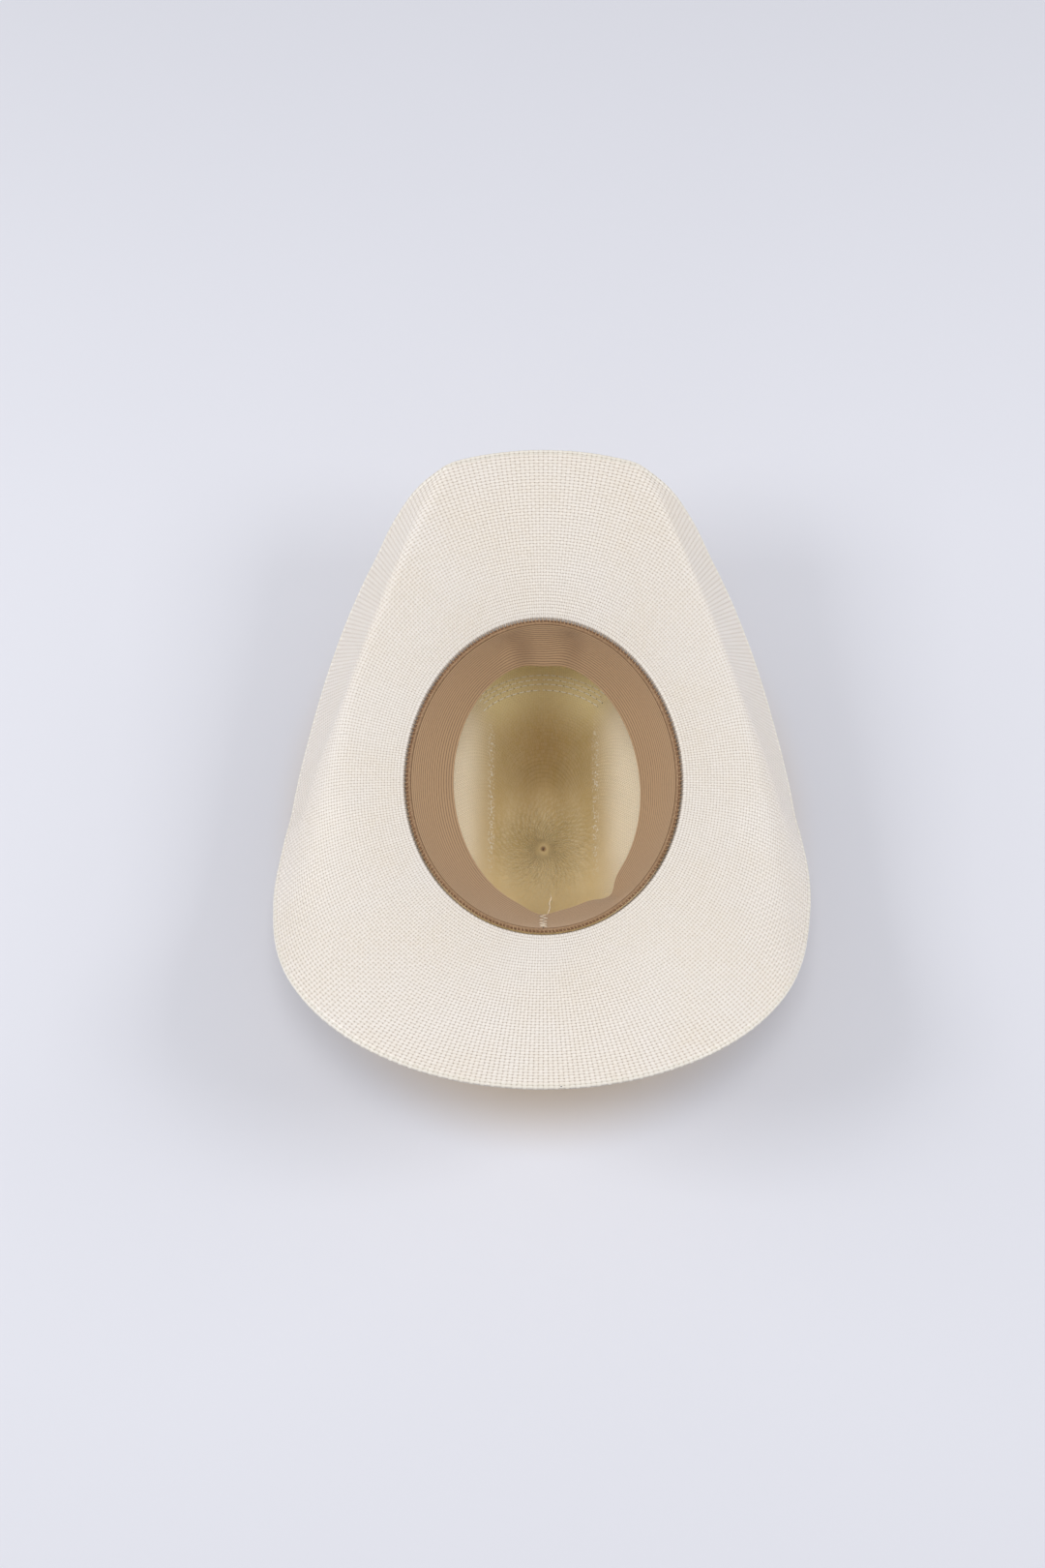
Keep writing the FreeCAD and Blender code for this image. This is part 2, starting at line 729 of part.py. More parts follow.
def make_hatband_tacks():
    """Two short thread tacks that hold the strap to the crown, at the front and at the back."""
    inside = size("strawThickness") / 2 - 0.5
    outside = inside + size("strapGap") + size("strapThickness") + 0.9
    tacks = []
    for angle in (0.0, math.pi):
        for share in (0.2, 0.8):
            place, outward, _ = strap_frame(angle, share)
            tacks.append(thread("Tack", place + outward * inside, place + outward * outside, "threadRadius"))
    return add_threads("hatband_tacks", tacks)


hatband_tacks = make_hatband_tacks()

# ---------------------------------------------------------------------------- checks and export

PARTS = [
    straw_body, brim_hem, brim_wire, wire_sleeve, sweatband, sweatband_reed, reed_stitching, seam_stitches,
    seam_tape, hatband_strap, strap_billet, buckle_frame, buckle_pin, buckle_prong, keeper_loop, strap_tip,
    hatband_tacks,
]


def export_parts():
    """Checks every object of the document, then writes each sub-part to its own file."""
    document.recompute()
    for item in document.Objects:
        if "Invalid" in item.State or "Error" in item.State:
            raise RuntimeError("%s did not compute" % item.Label)
    os.makedirs("parts", exist_ok=True)
    for item in PARTS:
        shape = item.Shape
        if shape.isNull() or not shape.isValid() or not shape.Solids:
            raise RuntimeError("%s has no valid solid" % item.Label)
        box = shape.BoundBox
        print("%-16s solids %3d  volume %9.1f mm3  z %.2f to %.2f" % (
            item.Label, len(shape.Solids), shape.Volume, box.ZMin, box.ZMax))
        shape.exportStep("parts/%s.step" % item.Label)


export_parts()
pin_axis = buckle_place.Rotation.multVec(Vector(0, 1, 0))
pin_place = buckle_place.multVec(Vector(pin_x, 0, pin_z))
print("buckle pin at (%.3f, %.3f, %.3f), along (%.5f, %.5f, %.5f)" % (*pin_place, *pin_axis))
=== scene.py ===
"""Looks of the straw western hat: woven straw, ribbed sweatband, stitches, hatband and buckle.

Metres, in the CAD model's frame: the hat lies on its crown, +Z out of the head opening, front at -Y.
"""

import math

import bpy
import numpy as np
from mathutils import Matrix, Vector


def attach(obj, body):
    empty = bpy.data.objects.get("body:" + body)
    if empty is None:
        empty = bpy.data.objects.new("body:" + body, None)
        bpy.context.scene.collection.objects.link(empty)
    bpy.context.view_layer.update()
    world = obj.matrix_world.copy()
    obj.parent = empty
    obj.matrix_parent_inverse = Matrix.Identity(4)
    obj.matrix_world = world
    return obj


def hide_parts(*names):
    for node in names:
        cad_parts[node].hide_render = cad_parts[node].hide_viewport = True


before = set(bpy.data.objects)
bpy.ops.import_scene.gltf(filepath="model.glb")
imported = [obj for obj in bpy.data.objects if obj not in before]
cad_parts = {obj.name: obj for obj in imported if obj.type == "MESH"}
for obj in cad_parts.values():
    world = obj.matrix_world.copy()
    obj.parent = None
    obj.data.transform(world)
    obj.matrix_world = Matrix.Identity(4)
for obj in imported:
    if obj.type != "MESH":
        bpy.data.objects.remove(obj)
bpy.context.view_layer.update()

MM = 0.001

# ---------------------------------------------------------------- shape of the hat, in millimetres

OPENING_HALF_WIDTH, OPENING_HALF_LENGTH = 86.5, 104.0
BREAK_HEIGHT, BREAK_SADDLE = 116.0, 5.0
STRAW_THICKNESS = 1.8
CROWN_DEPTH, CROWN_SQUARENESS = 113.0, 2.9
TIP_SHIFT = 13.0
CROWN_FLATTENING, FLAT_BLEND = 3.0, 3.0
# a run says where something rises and where it falls again, along Y
CREASE_DEPTH, CREASE_SPREAD, CREASE_RUN, CREASE_FADE = 6.0, 15.0, (-66.0, -30.0, 40.0, 78.0), (10.0, 30.0)
DENT_PINCH, DENT_TOP, DENT_FLOOR, DENT_RUN = 0.40, 92.0, 20.0, (-88.0, -30.0, 15.0, 85.0)
STANDING_OFFSET = 1.42
BRIM_WIDTH, BRIM_CORNER_EXTRA = 98.5, 10.0
FRONT_DIP, BACK_DIP = 22.0, 12.5
FOLD_HALF_WIDTH, FOLD_HALF_LENGTH, FOLD_MIDDLE, FOLD_SQUARENESS = 137.5, 271.0, 15.0, 1.42
FOLD_ZONES = (-180.0, -150.0, -125.0, -60.0, 0.0, 60.0, 120.0, 230.0)
FOLD_ANGLES = (40.0, 52.0, 60.0, 64.0, 65.0, 42.0, 14.0, 0.0)
FOLD_BENDS = (8.0, 8.0, 8.0, 9.0, 38.0, 70.0, 70.0, 70.0)
FOLD_BIAS, FOLD_BIAS_RUN = 6.0, (30.0, 110.0, 170.0, 225.0)
FOLD_SEARCH_REACH, FOLD_SEARCH_STEPS = 400.0, 30
HEM_RADIUS = 1.7
BAND_HALF_WIDTH_FREE, BAND_HALF_LENGTH_FREE = 59.5, 83.5
BAND_DROP, BAND_FREE_SHIFT, BAND_HOLLOW = 28.0, 2.0, 1.6
BAND_LEAN_FRONT, BAND_LEAN_SIDE, BAND_SKEW = 4.5, -2.5, 1.5
# reach, angle and spread; these angles are in degrees
BAND_RIPPLES = ((6.0, 219.0, 7.0), (3.0, 178.0, 10.0), (-2.5, 0.0, 9.0))
BAND_DENTS, BAND_DENT_DEPTH, BAND_DENT_SPREAD = (-12.0, 17.0), 2.4, 6.0
REED_RADIUS, REED_DROP = 1.2, 0.4


def smooth(value, start, end):
    """0 before the start, 1 past the end, and an even S between them."""
    t = np.clip((np.asarray(value, float) - start) / (end - start), 0.0, 1.0)
    return t * t * (3.0 - 2.0 * t)


def plateau(value, run):
    """0, then 1 between the middle two places of the run, then 0 again."""
    return smooth(value, *run[:2]) * (1 - smooth(value, *run[2:]))


def between(value, places, amounts):
    """Smooth interpolation through (place, amount) pairs, with no overshoot."""
    x, y = np.array(places, float), np.array(amounts, float)
    slopes = np.diff(y) / np.diff(x)
    tangents = np.zeros(len(x))
    for k in range(1, len(x) - 1):
        a, b = slopes[k - 1], slopes[k]
        tangents[k] = 0.0 if a * b <= 0 else 2 * a * b / (a + b)
    v = np.clip(value, x[0], x[-1])
    k = np.clip(np.searchsorted(x, v, side="right") - 1, 0, len(x) - 2)
    span = x[k + 1] - x[k]
    t = (v - x[k]) / span
    return (
        y[k] * (1 + 2 * t) * (1 - t) ** 2 + y[k + 1] * t * t * (3 - 2 * t)
        + span * (tangents[k] * t * (1 - t) ** 2 - tangents[k + 1] * t * t * (1 - t))
    )


def opening(angle):
    """Points and outward normals of the head opening's oval, in plan. Angle 0 is the front."""
    a, b = OPENING_HALF_WIDTH, OPENING_HALF_LENGTH
    sin, cos = np.sin(angle), np.cos(angle)
    normal = np.stack([b * sin, -a * cos, 0 * sin], -1)
    normal /= np.linalg.norm(normal, axis=-1, keepdims=True)
    return np.stack([a * sin, -b * cos, 0 * sin], -1), normal


def break_height(angle):
    """Height at which the crown turns into the brim: lower at the sides of the head."""
    return BREAK_HEIGHT + BREAK_SADDLE * np.cos(2 * angle)


def crown_points(angle, turn):
    """Middle of the straw on the crown. Turn is 0 at the brim and a right angle at the woven centre."""
    power = CROWN_SQUARENESS
    reach = (np.cos(turn) ** power + np.sin(turn) ** power) ** (1 / power)
    scale, down = np.cos(turn) / reach, np.sin(turn) / reach
    oval, _ = opening(angle)
    x = oval[..., 0] * scale
    y = oval[..., 1] * scale + TIP_SHIFT * down**1.5
    z = CROWN_DEPTH * (1 - down)
    over = z - CROWN_FLATTENING
    z = (over + np.hypot(over, FLAT_BLEND)) / 2
    pinch = 1 - smooth(z, DENT_FLOOR, DENT_TOP)
    x = x * (1 - plateau(y, DENT_RUN) * DENT_PINCH * pinch)
    crease = plateau(y, CREASE_RUN) * CREASE_DEPTH * np.exp(-((x / CREASE_SPREAD) ** 2))
    z = z + crease * (1 - smooth(z, *CREASE_FADE))
    lift = (break_height(angle) - CROWN_DEPTH) * (1 - down) ** 2 - STANDING_OFFSET
    return np.stack([x, y, z + lift], -1)


def fold_distance(points):
    """Below 0 on the flat middle of the brim, above 0 past the line where its sides roll."""
    across = np.abs(points[..., 0] / FOLD_HALF_WIDTH) ** FOLD_SQUARENESS
    along = np.abs((points[..., 1] - FOLD_MIDDLE) / FOLD_HALF_LENGTH) ** FOLD_SQUARENESS
    return across + along - 1


def brim_width(angle):
    """Width of the flat brim, a little more at its four corners."""
    return BRIM_WIDTH + BRIM_CORNER_EXTRA * np.sin(2 * angle) ** 2


def brim_points(angle, distance):
    """Middle of the straw on the brim, at a distance from the opening measured on the flat brim."""
    start, outward = opening(angle)
    near, far = np.zeros_like(angle), np.full_like(angle, FOLD_SEARCH_REACH)
    for _ in range(FOLD_SEARCH_STEPS):
        middle = (near + far) / 2
        inside = fold_distance(start + outward * middle[..., None]) < 0
        near, far = np.where(inside, middle, near), np.where(inside, far, middle)
    fold = start + outward * near[..., None]
    forward = np.cos(angle)
    slope = np.tan(np.radians(np.where(forward > 0, FRONT_DIP, BACK_DIP))) * forward**2
    height = break_height(angle) + slope * distance - STANDING_OFFSET
    fold_y = fold[..., 1]
    bias = FOLD_BIAS * np.sin(angle) * plateau(fold_y, FOLD_BIAS_RUN)
    turn = np.radians(np.maximum(between(fold_y, FOLD_ZONES, FOLD_ANGLES) - bias, 0.1))
    bend = between(fold_y, FOLD_ZONES, FOLD_BENDS)
    power = FOLD_SQUARENESS - 1
    along = fold_y - FOLD_MIDDLE
    across = np.stack([
        np.copysign(np.abs(fold[..., 0] / FOLD_HALF_WIDTH) ** power / FOLD_HALF_WIDTH, fold[..., 0]),
        np.copysign(np.abs(along / FOLD_HALF_LENGTH) ** power / FOLD_HALF_LENGTH, along),
        0 * along,
    ], -1)
    across /= np.linalg.norm(across, axis=-1, keepdims=True)
    tangent = np.stack([-across[..., 1], across[..., 0], 0 * along], -1)
    past = (distance - near) * (outward * across).sum(-1)
    sideways = (distance - near) * (outward * tangent).sum(-1)
    radius = bend / turn
    arc = np.clip(past + bend / 2, 0, bend) / radius
    rest = np.maximum(past - bend / 2, 0)
    before = np.minimum(past + bend / 2, 0)
    reach = -bend / 2 + before + radius * np.sin(arc) + rest * np.cos(turn)
    drop = radius * (1 - np.cos(arc)) + rest * np.sin(turn)
    place = fold + tangent * sideways[..., None] + across * reach[..., None]
    place[..., 2] = height - drop
    return place


def unit(v):
    return v / np.maximum(np.linalg.norm(v, axis=-1, keepdims=True), 1e-9)


def grid_normals(points):
    """Normals of a grid of points that closes on itself along its second axis; up on the brim."""
    round_ = np.roll(points, -1, 1) - np.roll(points, 1, 1)
    along = np.gradient(points, axis=0)
    return unit(np.cross(along, round_))


# ---------------------------------------------------------------- mesh helpers


TAPERED_END = 0.25  # the share of an open tube's radius that is left at its ends


def new_object(name, vertices, faces, uv=None):
    """Smooth-shaded mesh object from millimetre points. uv holds one pair for each face corner."""
    mesh = bpy.data.meshes.new(name)
    vertices = np.asarray(vertices, float).reshape(-1, 3) * MM
    faces = np.asarray(faces, np.int32)
    mesh.vertices.add(len(vertices))
    mesh.vertices.foreach_set("co", vertices.ravel())
    mesh.loops.add(faces.size)
    mesh.loops.foreach_set("vertex_index", faces.ravel())
    mesh.polygons.add(len(faces))
    mesh.polygons.foreach_set("loop_start", np.arange(0, faces.size, faces.shape[1], dtype=np.int32))
    mesh.update(calc_edges=True)
    mesh.polygons.foreach_set("use_smooth", np.full(len(faces), True))
    if uv is not None:
        layer = mesh.uv_layers.new(name="UVMap")
        layer.data.foreach_set("uv", np.asarray(uv, np.float32).ravel())
    mesh.validate()
    piece = bpy.data.objects.new(name, mesh)
    bpy.context.scene.collection.objects.link(piece)
    return piece


def grid_faces(rows, columns, close_rows=False):
    """Quads of a grid whose columns close on themselves, and whose rows may too."""
    last = rows if close_rows else rows - 1
    r, c = np.meshgrid(np.arange(last), np.arange(columns), indexing="ij")
    r2, c2 = (r + 1) % rows, (c + 1) % columns
    quads = np.stack([r * columns + c, r * columns + c2, r2 * columns + c2, r2 * columns + c], -1)
    return quads.reshape(-1, 4), r.ravel(), c.ravel()


def grid_uv(r, c, u, v):
    """uv of each quad corner. u has a number for each line between columns, and v for each between rows."""
    return np.stack([
        np.stack([u[c], v[r]], -1), np.stack([u[c + 1], v[r]], -1),
        np.stack([u[c + 1], v[r + 1]], -1), np.stack([u[c], v[r + 1]], -1),
    ], 1)


def tube_mesh(path, radius, sides, closed=False):
    """Vertices and quads of a round tube along a path of points; an open one tapers at both ends.

    radius is one number, or one for each point.
    """
    path = np.asarray(path, float)
    count = len(path)
    if closed:
        forward = unit(np.roll(path, -1, 0) - np.roll(path, 1, 0))
    else:
        forward = unit(np.gradient(path, axis=0))
    side = unit(np.cross(forward, np.array([0.0, 0.0, 1.0]) + 1e-4))
    up = np.cross(side, forward)
    size = np.broadcast_to(np.asarray(radius, float), (count,)).copy()
    if not closed:
        size[0] = size[-1] = size[0] * TAPERED_END
    turn = np.arange(sides) * 2 * np.pi / sides
    ring = side[:, None] * np.cos(turn)[None, :, None] + up[:, None] * np.sin(turn)[None, :, None]
    vertices = path[:, None] + ring * size[:, None, None]
    faces, _, _ = grid_faces(count, sides, closed)
    if not closed:
        # the ends are closed by quads across the ring
        half = sides // 2
        for base, flip in ((0, False), ((count - 1) * sides, True)):
            k = np.arange(half - 1)
            cap = np.stack([base + k, base + k + 1, base + sides - 2 - k, base + sides - 1 - k], -1)
            faces = np.vstack([faces, cap[:, ::-1] if flip else cap])
    return vertices.reshape(-1, 3), faces


def joined(parts):
    """One vertex and face list from many."""
    vertices, faces, start = [], [], 0
    for v, f in parts:
        vertices.append(v)
        faces.append(f + start)
        start += len(v)
    return np.vstack(vertices), np.vstack(faces)


# ---------------------------------------------------------------- colours, as linear red, green and blue

# the second colour of each straw pair is the darker straw of the fibres and gaps, and also the painted shade
# on the strand edges
STRAW_CREAM, STRAW_DARK_AND_SHADE = (0.90, 0.845, 0.78), (0.62, 0.48, 0.34)
OUTER_CREAM, OUTER_DARK_AND_SHADE = (0.84, 0.745, 0.60), (0.58, 0.44, 0.28)
HEM_CREAM, HEM_DARK_AND_SHADE = (0.88, 0.84, 0.765), (0.66, 0.55, 0.42)
# the vents' strands are painted pale, as painted light shining through the vents
VENT_DARK, VENT_PAINTED_LIGHT = (0.92, 0.84, 0.70), (1.0, 0.97, 0.90)
CROWN_FLOOR_DARK, CROWN_FLOOR_LIGHT = (0.58, 0.425, 0.18), (0.66, 0.495, 0.24)
# the crown's front wall, rear and side walls are painted paler than its floor, as painted light
CROWN_FRONT_PAINTED_LIGHT, CROWN_REAR_PAINTED_LIGHT, CROWN_SIDE_PAINTED_LIGHT = (1.0, 0.86, 0.47), (0.95, 0.75, 0.40), (0.99, 0.87, 0.66)
CROWN_HOLLOW_SHADE, CROWN_FAN, CROWN_DOT = (0.50, 0.31, 0.10), (0.86, 0.74, 0.50), (0.30, 0.16, 0.06)
CROWN_GAP, CROWN_STRAND, CROWN_GLINT = (0.36, 0.23, 0.10), (0.90, 0.80, 0.60), (0.98, 0.94, 0.86)
RIB_VALLEY_SHADE, RIB_TOP = (0.15, 0.088, 0.043), (0.505, 0.325, 0.180)
RIB_WORN, RIB_FADED, RIB_DENT_SHADE = (0.36, 0.22, 0.12), (0.55, 0.37, 0.225), (0.24, 0.14, 0.075)
WELT_CLOTH_DARK, WELT_CLOTH_LIGHT = (0.27, 0.16, 0.085), (0.42, 0.265, 0.15)
# the cord's dark brown is partly its own colour and partly painted shade in the gap between band and straw
WELT_CORD_AND_GAP_SHADE_DARK, WELT_CORD_AND_GAP_SHADE_LIGHT = (0.15, 0.070, 0.030), (0.29, 0.155, 0.078)
REED_THREAD_DARK, REED_THREAD_LIGHT = (0.36, 0.20, 0.095), (0.62, 0.43, 0.255)
CREAM_THREAD_DARK, CREAM_THREAD_LIGHT = (0.62, 0.49, 0.35), (0.92, 0.83, 0.68)
TACK_THREAD_DARK, TACK_THREAD_LIGHT = (0.07, 0.035, 0.018), (0.16, 0.09, 0.05)
LEATHER_DARK, LEATHER_LIGHT = (0.115, 0.045, 0.020), (0.185, 0.080, 0.036)
LEATHER_RUBBED = (0.30, 0.155, 0.080)
TAPE_DARK, TAPE_LIGHT = (0.26, 0.17, 0.105), (0.40, 0.27, 0.17)
BUCKLE_METAL, WIRE_METAL, SLEEVE_METAL = (0.56, 0.53, 0.49), (0.55, 0.55, 0.55), (0.7, 0.7, 0.7)
FLOOR_DARK, FLOOR_LIGHT, FLOOR_PAINTED_WARM_SHADE = (0.755, 0.765, 0.83), (0.77, 0.78, 0.845), (0.70, 0.585, 0.46)
WORLD_COLOUR = (0.97, 0.97, 1.0, 1.0)

# ---------------------------------------------------------------- material helpers


class Nodes:
    """Short calls for building a node tree."""

    def __init__(self, name):
        self.material = bpy.data.materials.new(name)
        self.material.use_nodes = True
        self.tree = self.material.node_tree
        self.shader = self.tree.nodes["Principled BSDF"]

    def add(self, kind, **settings):
        node = self.tree.nodes.new(kind)
        for key, value in settings.items():
            setattr(node, key, value)
        return node

    def link(self, source, target):
        self.tree.links.new(source, target)

    def feed(self, socket, value):
        if isinstance(value, (int, float, tuple)):
            socket.default_value = value
        else:
            self.link(value, socket)

    def math(self, operation, a, b=0.0):
        node = self.add("ShaderNodeMath", operation=operation)
        self.feed(node.inputs[0], a)
        self.feed(node.inputs[1], b)
        return node.outputs[0]

    def plus(self, a, b):
        return self.math("ADD", a, b)

    def minus(self, a, b):
        return self.math("SUBTRACT", a, b)

    def flipped(self, value):
        """1 where the value is 0, and 0 where it is 1."""
        return self.minus(1.0, value)

    def hump(self, value):
        """A sine hump over each whole number."""
        return self.math("SINE", self.times(self.math("FRACT", value), math.pi))

    def length(self, a, b):
        return self.math("SQRT", self.plus(self.times(a, a), self.times(b, b)))

    def split(self, vector):
        node = self.add("ShaderNodeSeparateXYZ")
        self.link(vector, node.inputs[0])
        return node.outputs

    def uv(self):
        node = self.add("ShaderNodeUVMap", uv_map="UVMap")
        return self.split(node.outputs[0])[:2]

    def place(self):
        return self.add("ShaderNodeTexCoord").outputs["Object"]

    def noise(self, vector, scale, detail=2.0, roughness=0.5):
        node = self.add("ShaderNodeTexNoise")
        self.link(vector, node.inputs["Vector"])
        node.inputs["Scale"].default_value = scale
        node.inputs["Detail"].default_value = detail
        node.inputs["Roughness"].default_value = roughness
        return node.outputs[0]

    def vector(self, x, y, z=0.0):
        node = self.add("ShaderNodeCombineXYZ")
        for socket, value in zip(node.inputs, (x, y, z)):
            self.feed(socket, value)
        return node.outputs[0]

    def ramp(self, value, low, high):
        """0 below low, 1 above high, and an even S between them."""
        node = self.add("ShaderNodeMapRange", interpolation_type="SMOOTHSTEP")
        for socket, number in zip(node.inputs, (value, low, high)):
            self.feed(socket, number)
        return node.outputs[0]

    def times(self, *values):
        """Product of any number of values."""
        result = values[0]
        for value in values[1:]:
            result = self.math("MULTIPLY", result, value)
        return result

    def millimetres(self):
        """The point's x and y in millimetres."""
        return [self.times(axis, 1 / MM) for axis in self.split(self.place())[:2]]

    def span(self, value, low, high, to_low=0.0, to_high=1.0):
        """Straight-line change from to_low, at low, to to_high, at high."""
        node = self.add("ShaderNodeMapRange")
        for socket, number in zip(node.inputs, (value, low, high, to_low, to_high)):
            self.feed(socket, number)
        return node.outputs[0]

    def mix(self, factor, a, b):
        node = self.add("ShaderNodeMix", data_type="RGBA")
        self.feed(node.inputs[0], factor)
        self.feed(node.inputs[6], a if not isinstance(a, tuple) else (*a, 1.0))
        self.feed(node.inputs[7], b if not isinstance(b, tuple) else (*b, 1.0))
        return node.outputs[2]

    def bump(self, height, distance):
        """Bump of the whole surface; distance is in metres."""
        node = self.add("ShaderNodeBump")
        self.link(height, node.inputs["Height"])
        node.inputs["Distance"].default_value = distance
        self.link(node.outputs[0], self.shader.inputs["Normal"])

    def set(self, **values):
        """Sets the shader's sockets and gives back the material."""
        for key, value in values.items():
            self.feed(self.shader.inputs[key.replace("_", " ")], value)
        return self.material


def weave(n, u, v):
    """Hump of the strand on top, gap between strands, and one random number for each crossing."""
    hump_u, hump_v = n.hump(u), n.hump(v)
    cell_u, cell_v = n.math("FLOOR", u), n.math("FLOOR", v)
    parity = n.math("MODULO", n.plus(cell_u, cell_v), 2.0)
    over = n.math("GREATER_THAN", n.math("ABSOLUTE", parity), 0.5)
    top = n.split(n.mix(over, n.vector(hump_u, 0, 0), n.vector(hump_v, 0, 0)))[0]
    gap = n.times(n.flipped(hump_u), n.flipped(hump_v))
    strand = n.add("ShaderNodeTexWhiteNoise", noise_dimensions="2D")
    n.link(n.vector(cell_u, cell_v), strand.inputs["Vector"])
    return top, n.span(gap, 0.30, 0.85), strand.outputs[0]


def shade(colour, *factors):
    """A colour with each channel multiplied, kept at or below 1."""
    return tuple(min(c * f, 1.0) for c, f in zip(colour, factors))


def straw_material(name, cream, dark_and_shade):
    """Plain weave of split straw: u counts the strands round the hat, v the strands across them."""
    n = Nodes(name)
    u, v = n.uv()
    hump, gap, strand = weave(n, u, v)
    broad = n.noise(n.place(), 22.0, 3.0)
    fibre = n.noise(n.vector(n.times(u, 4.0), n.times(v, 4.0)), 1.0)
    # broad yellower patches, then paler strands, fine fibres, painted shade on the strand edges, and darker
    # gaps
    colour = n.mix(n.span(broad, 0.35, 0.7), cream, shade(cream, 0.985, 0.965, 0.925))
    colour = n.mix(n.times(strand, 0.35), colour, shade(cream, 1.06, 1.07, 1.10))
    colour = n.mix(n.times(n.span(fibre, 0.4, 0.75), 0.12), colour, dark_and_shade)
    # painted shade on the rounded edges of the strands
    colour = n.mix(n.times(n.flipped(hump), 0.22), colour, dark_and_shade)
    colour = n.mix(n.times(gap, 0.75), colour, dark_and_shade)
    n.bump(n.minus(n.plus(hump, n.times(fibre, 0.25)), gap), 0.00030)
    n.set(Specular_IOR_Level=0.55, Coat_Weight=0.35, Coat_Roughness=0.2)
    return n.set(Base_Color=colour, Roughness=n.span(strand, 0.0, 1.0, 0.28, 0.50))


def crown_inside_material():
    """Unbleached inner face of the crown, darker and browner than the brim; painted light makes its walls and
    rear paler than its floor, palest on the side walls.
    """
    n = Nodes("crown_inside")
    u, v = n.uv()
    hump, gap, strand = weave(n, u, v)
    x, y = n.millimetres()
    side = n.math("ABSOLUTE", x)

    # the floor, then the front wall, the rear wall and the side walls, painted paler than the floor as
    # painted light that falls on them and comes through the straw; every place is in millimetres
    broad = n.noise(n.place(), 30.0, 3.0)
    colour = n.mix(n.span(broad, 0.3, 0.7), CROWN_FLOOR_DARK, CROWN_FLOOR_LIGHT)
    colour = n.mix(n.flipped(n.ramp(y, -88.0, -58.0)), colour, CROWN_FRONT_PAINTED_LIGHT)
    colour = n.mix(n.ramp(y, -5.0, 62.0), colour, CROWN_REAR_PAINTED_LIGHT)
    ends = n.times(n.ramp(y, -98.0, -60.0), n.flipped(n.ramp(y, 42.0, 80.0)))
    colour = n.mix(n.times(n.ramp(side, 30.0, 52.0), ends), colour, CROWN_SIDE_PAINTED_LIGHT)

    # painted shade in the hollow where the front wall meets the floor
    away = n.length(n.math("DIVIDE", x, 42.0), n.math("DIVIDE", n.plus(y, 54.0), 60.0))
    colour = n.mix(n.times(n.flipped(n.ramp(away, 0.0, 1.0)), 0.80), colour, CROWN_HOLLOW_SHADE)

    # strands fan out from the woven centre, which is a brown dot
    from_centre = n.minus(y, TIP_SHIFT)
    radius = n.length(x, from_centre)
    wander = n.noise(n.place(), 230.0)
    angle = n.plus(n.times(n.math("ARCTAN2", x, from_centre), 46.0), n.times(wander, 12.0))
    rings = n.math("SINE", n.times(n.plus(radius, n.times(wander, 16.0)), 2 * math.pi / 5.0))
    spokes = n.times(n.math("SINE", angle), n.math("SIGN", rings))
    fan = n.times(n.ramp(radius, 1.5, 8.0), n.flipped(n.ramp(radius, 18.0, 50.0)))
    colour = n.mix(n.times(n.ramp(spokes, 0.0, 1.0), fan, 0.38), colour, CROWN_FAN)
    colour = n.mix(n.flipped(n.ramp(radius, 1.0, 2.6)), colour, CROWN_DOT)

    # further out the plain weave shows
    colour = n.mix(n.times(gap, n.ramp(radius, 34.0, 60.0), 0.16), colour, CROWN_GAP)
    colour = n.mix(n.times(strand, 0.14), colour, CROWN_STRAND)

    # painted highlights: small bright specks along the two creases of the floor
    near = n.flipped(n.ramp(n.math("ABSOLUTE", n.minus(side, 35.0)), 0.5, 3.2))
    glints = n.ramp(n.noise(n.place(), 620.0, 1.0), 0.54, 0.62)
    run = n.times(n.ramp(y, -76.0, -50.0), n.flipped(n.ramp(y, 10.0, 42.0)))
    colour = n.mix(n.times(near, glints, run, 0.75), colour, CROWN_GLINT)

    relief = n.times(n.minus(hump, gap), n.ramp(radius, 30.0, 60.0))
    n.bump(n.plus(relief, n.times(spokes, fan, 1.2)), 0.00022)
    n.set(Specular_IOR_Level=0.5)
    return n.set(Base_Color=colour, Roughness=n.span(strand, 0.0, 1.0, 0.34, 0.55))


def vent_painted_light_material():
    """Loose strands that bridge the vents, painted pale as painted light that shines through the vents."""
    n = Nodes("vent_straw_painted_light")
    strand = n.noise(n.place(), 700.0)
    n.bump(strand, 0.0001)
    colour = n.mix(strand, VENT_DARK, VENT_PAINTED_LIGHT)
    return n.set(Base_Color=colour, Roughness=n.span(strand, 0.3, 0.7, 0.3, 0.5))


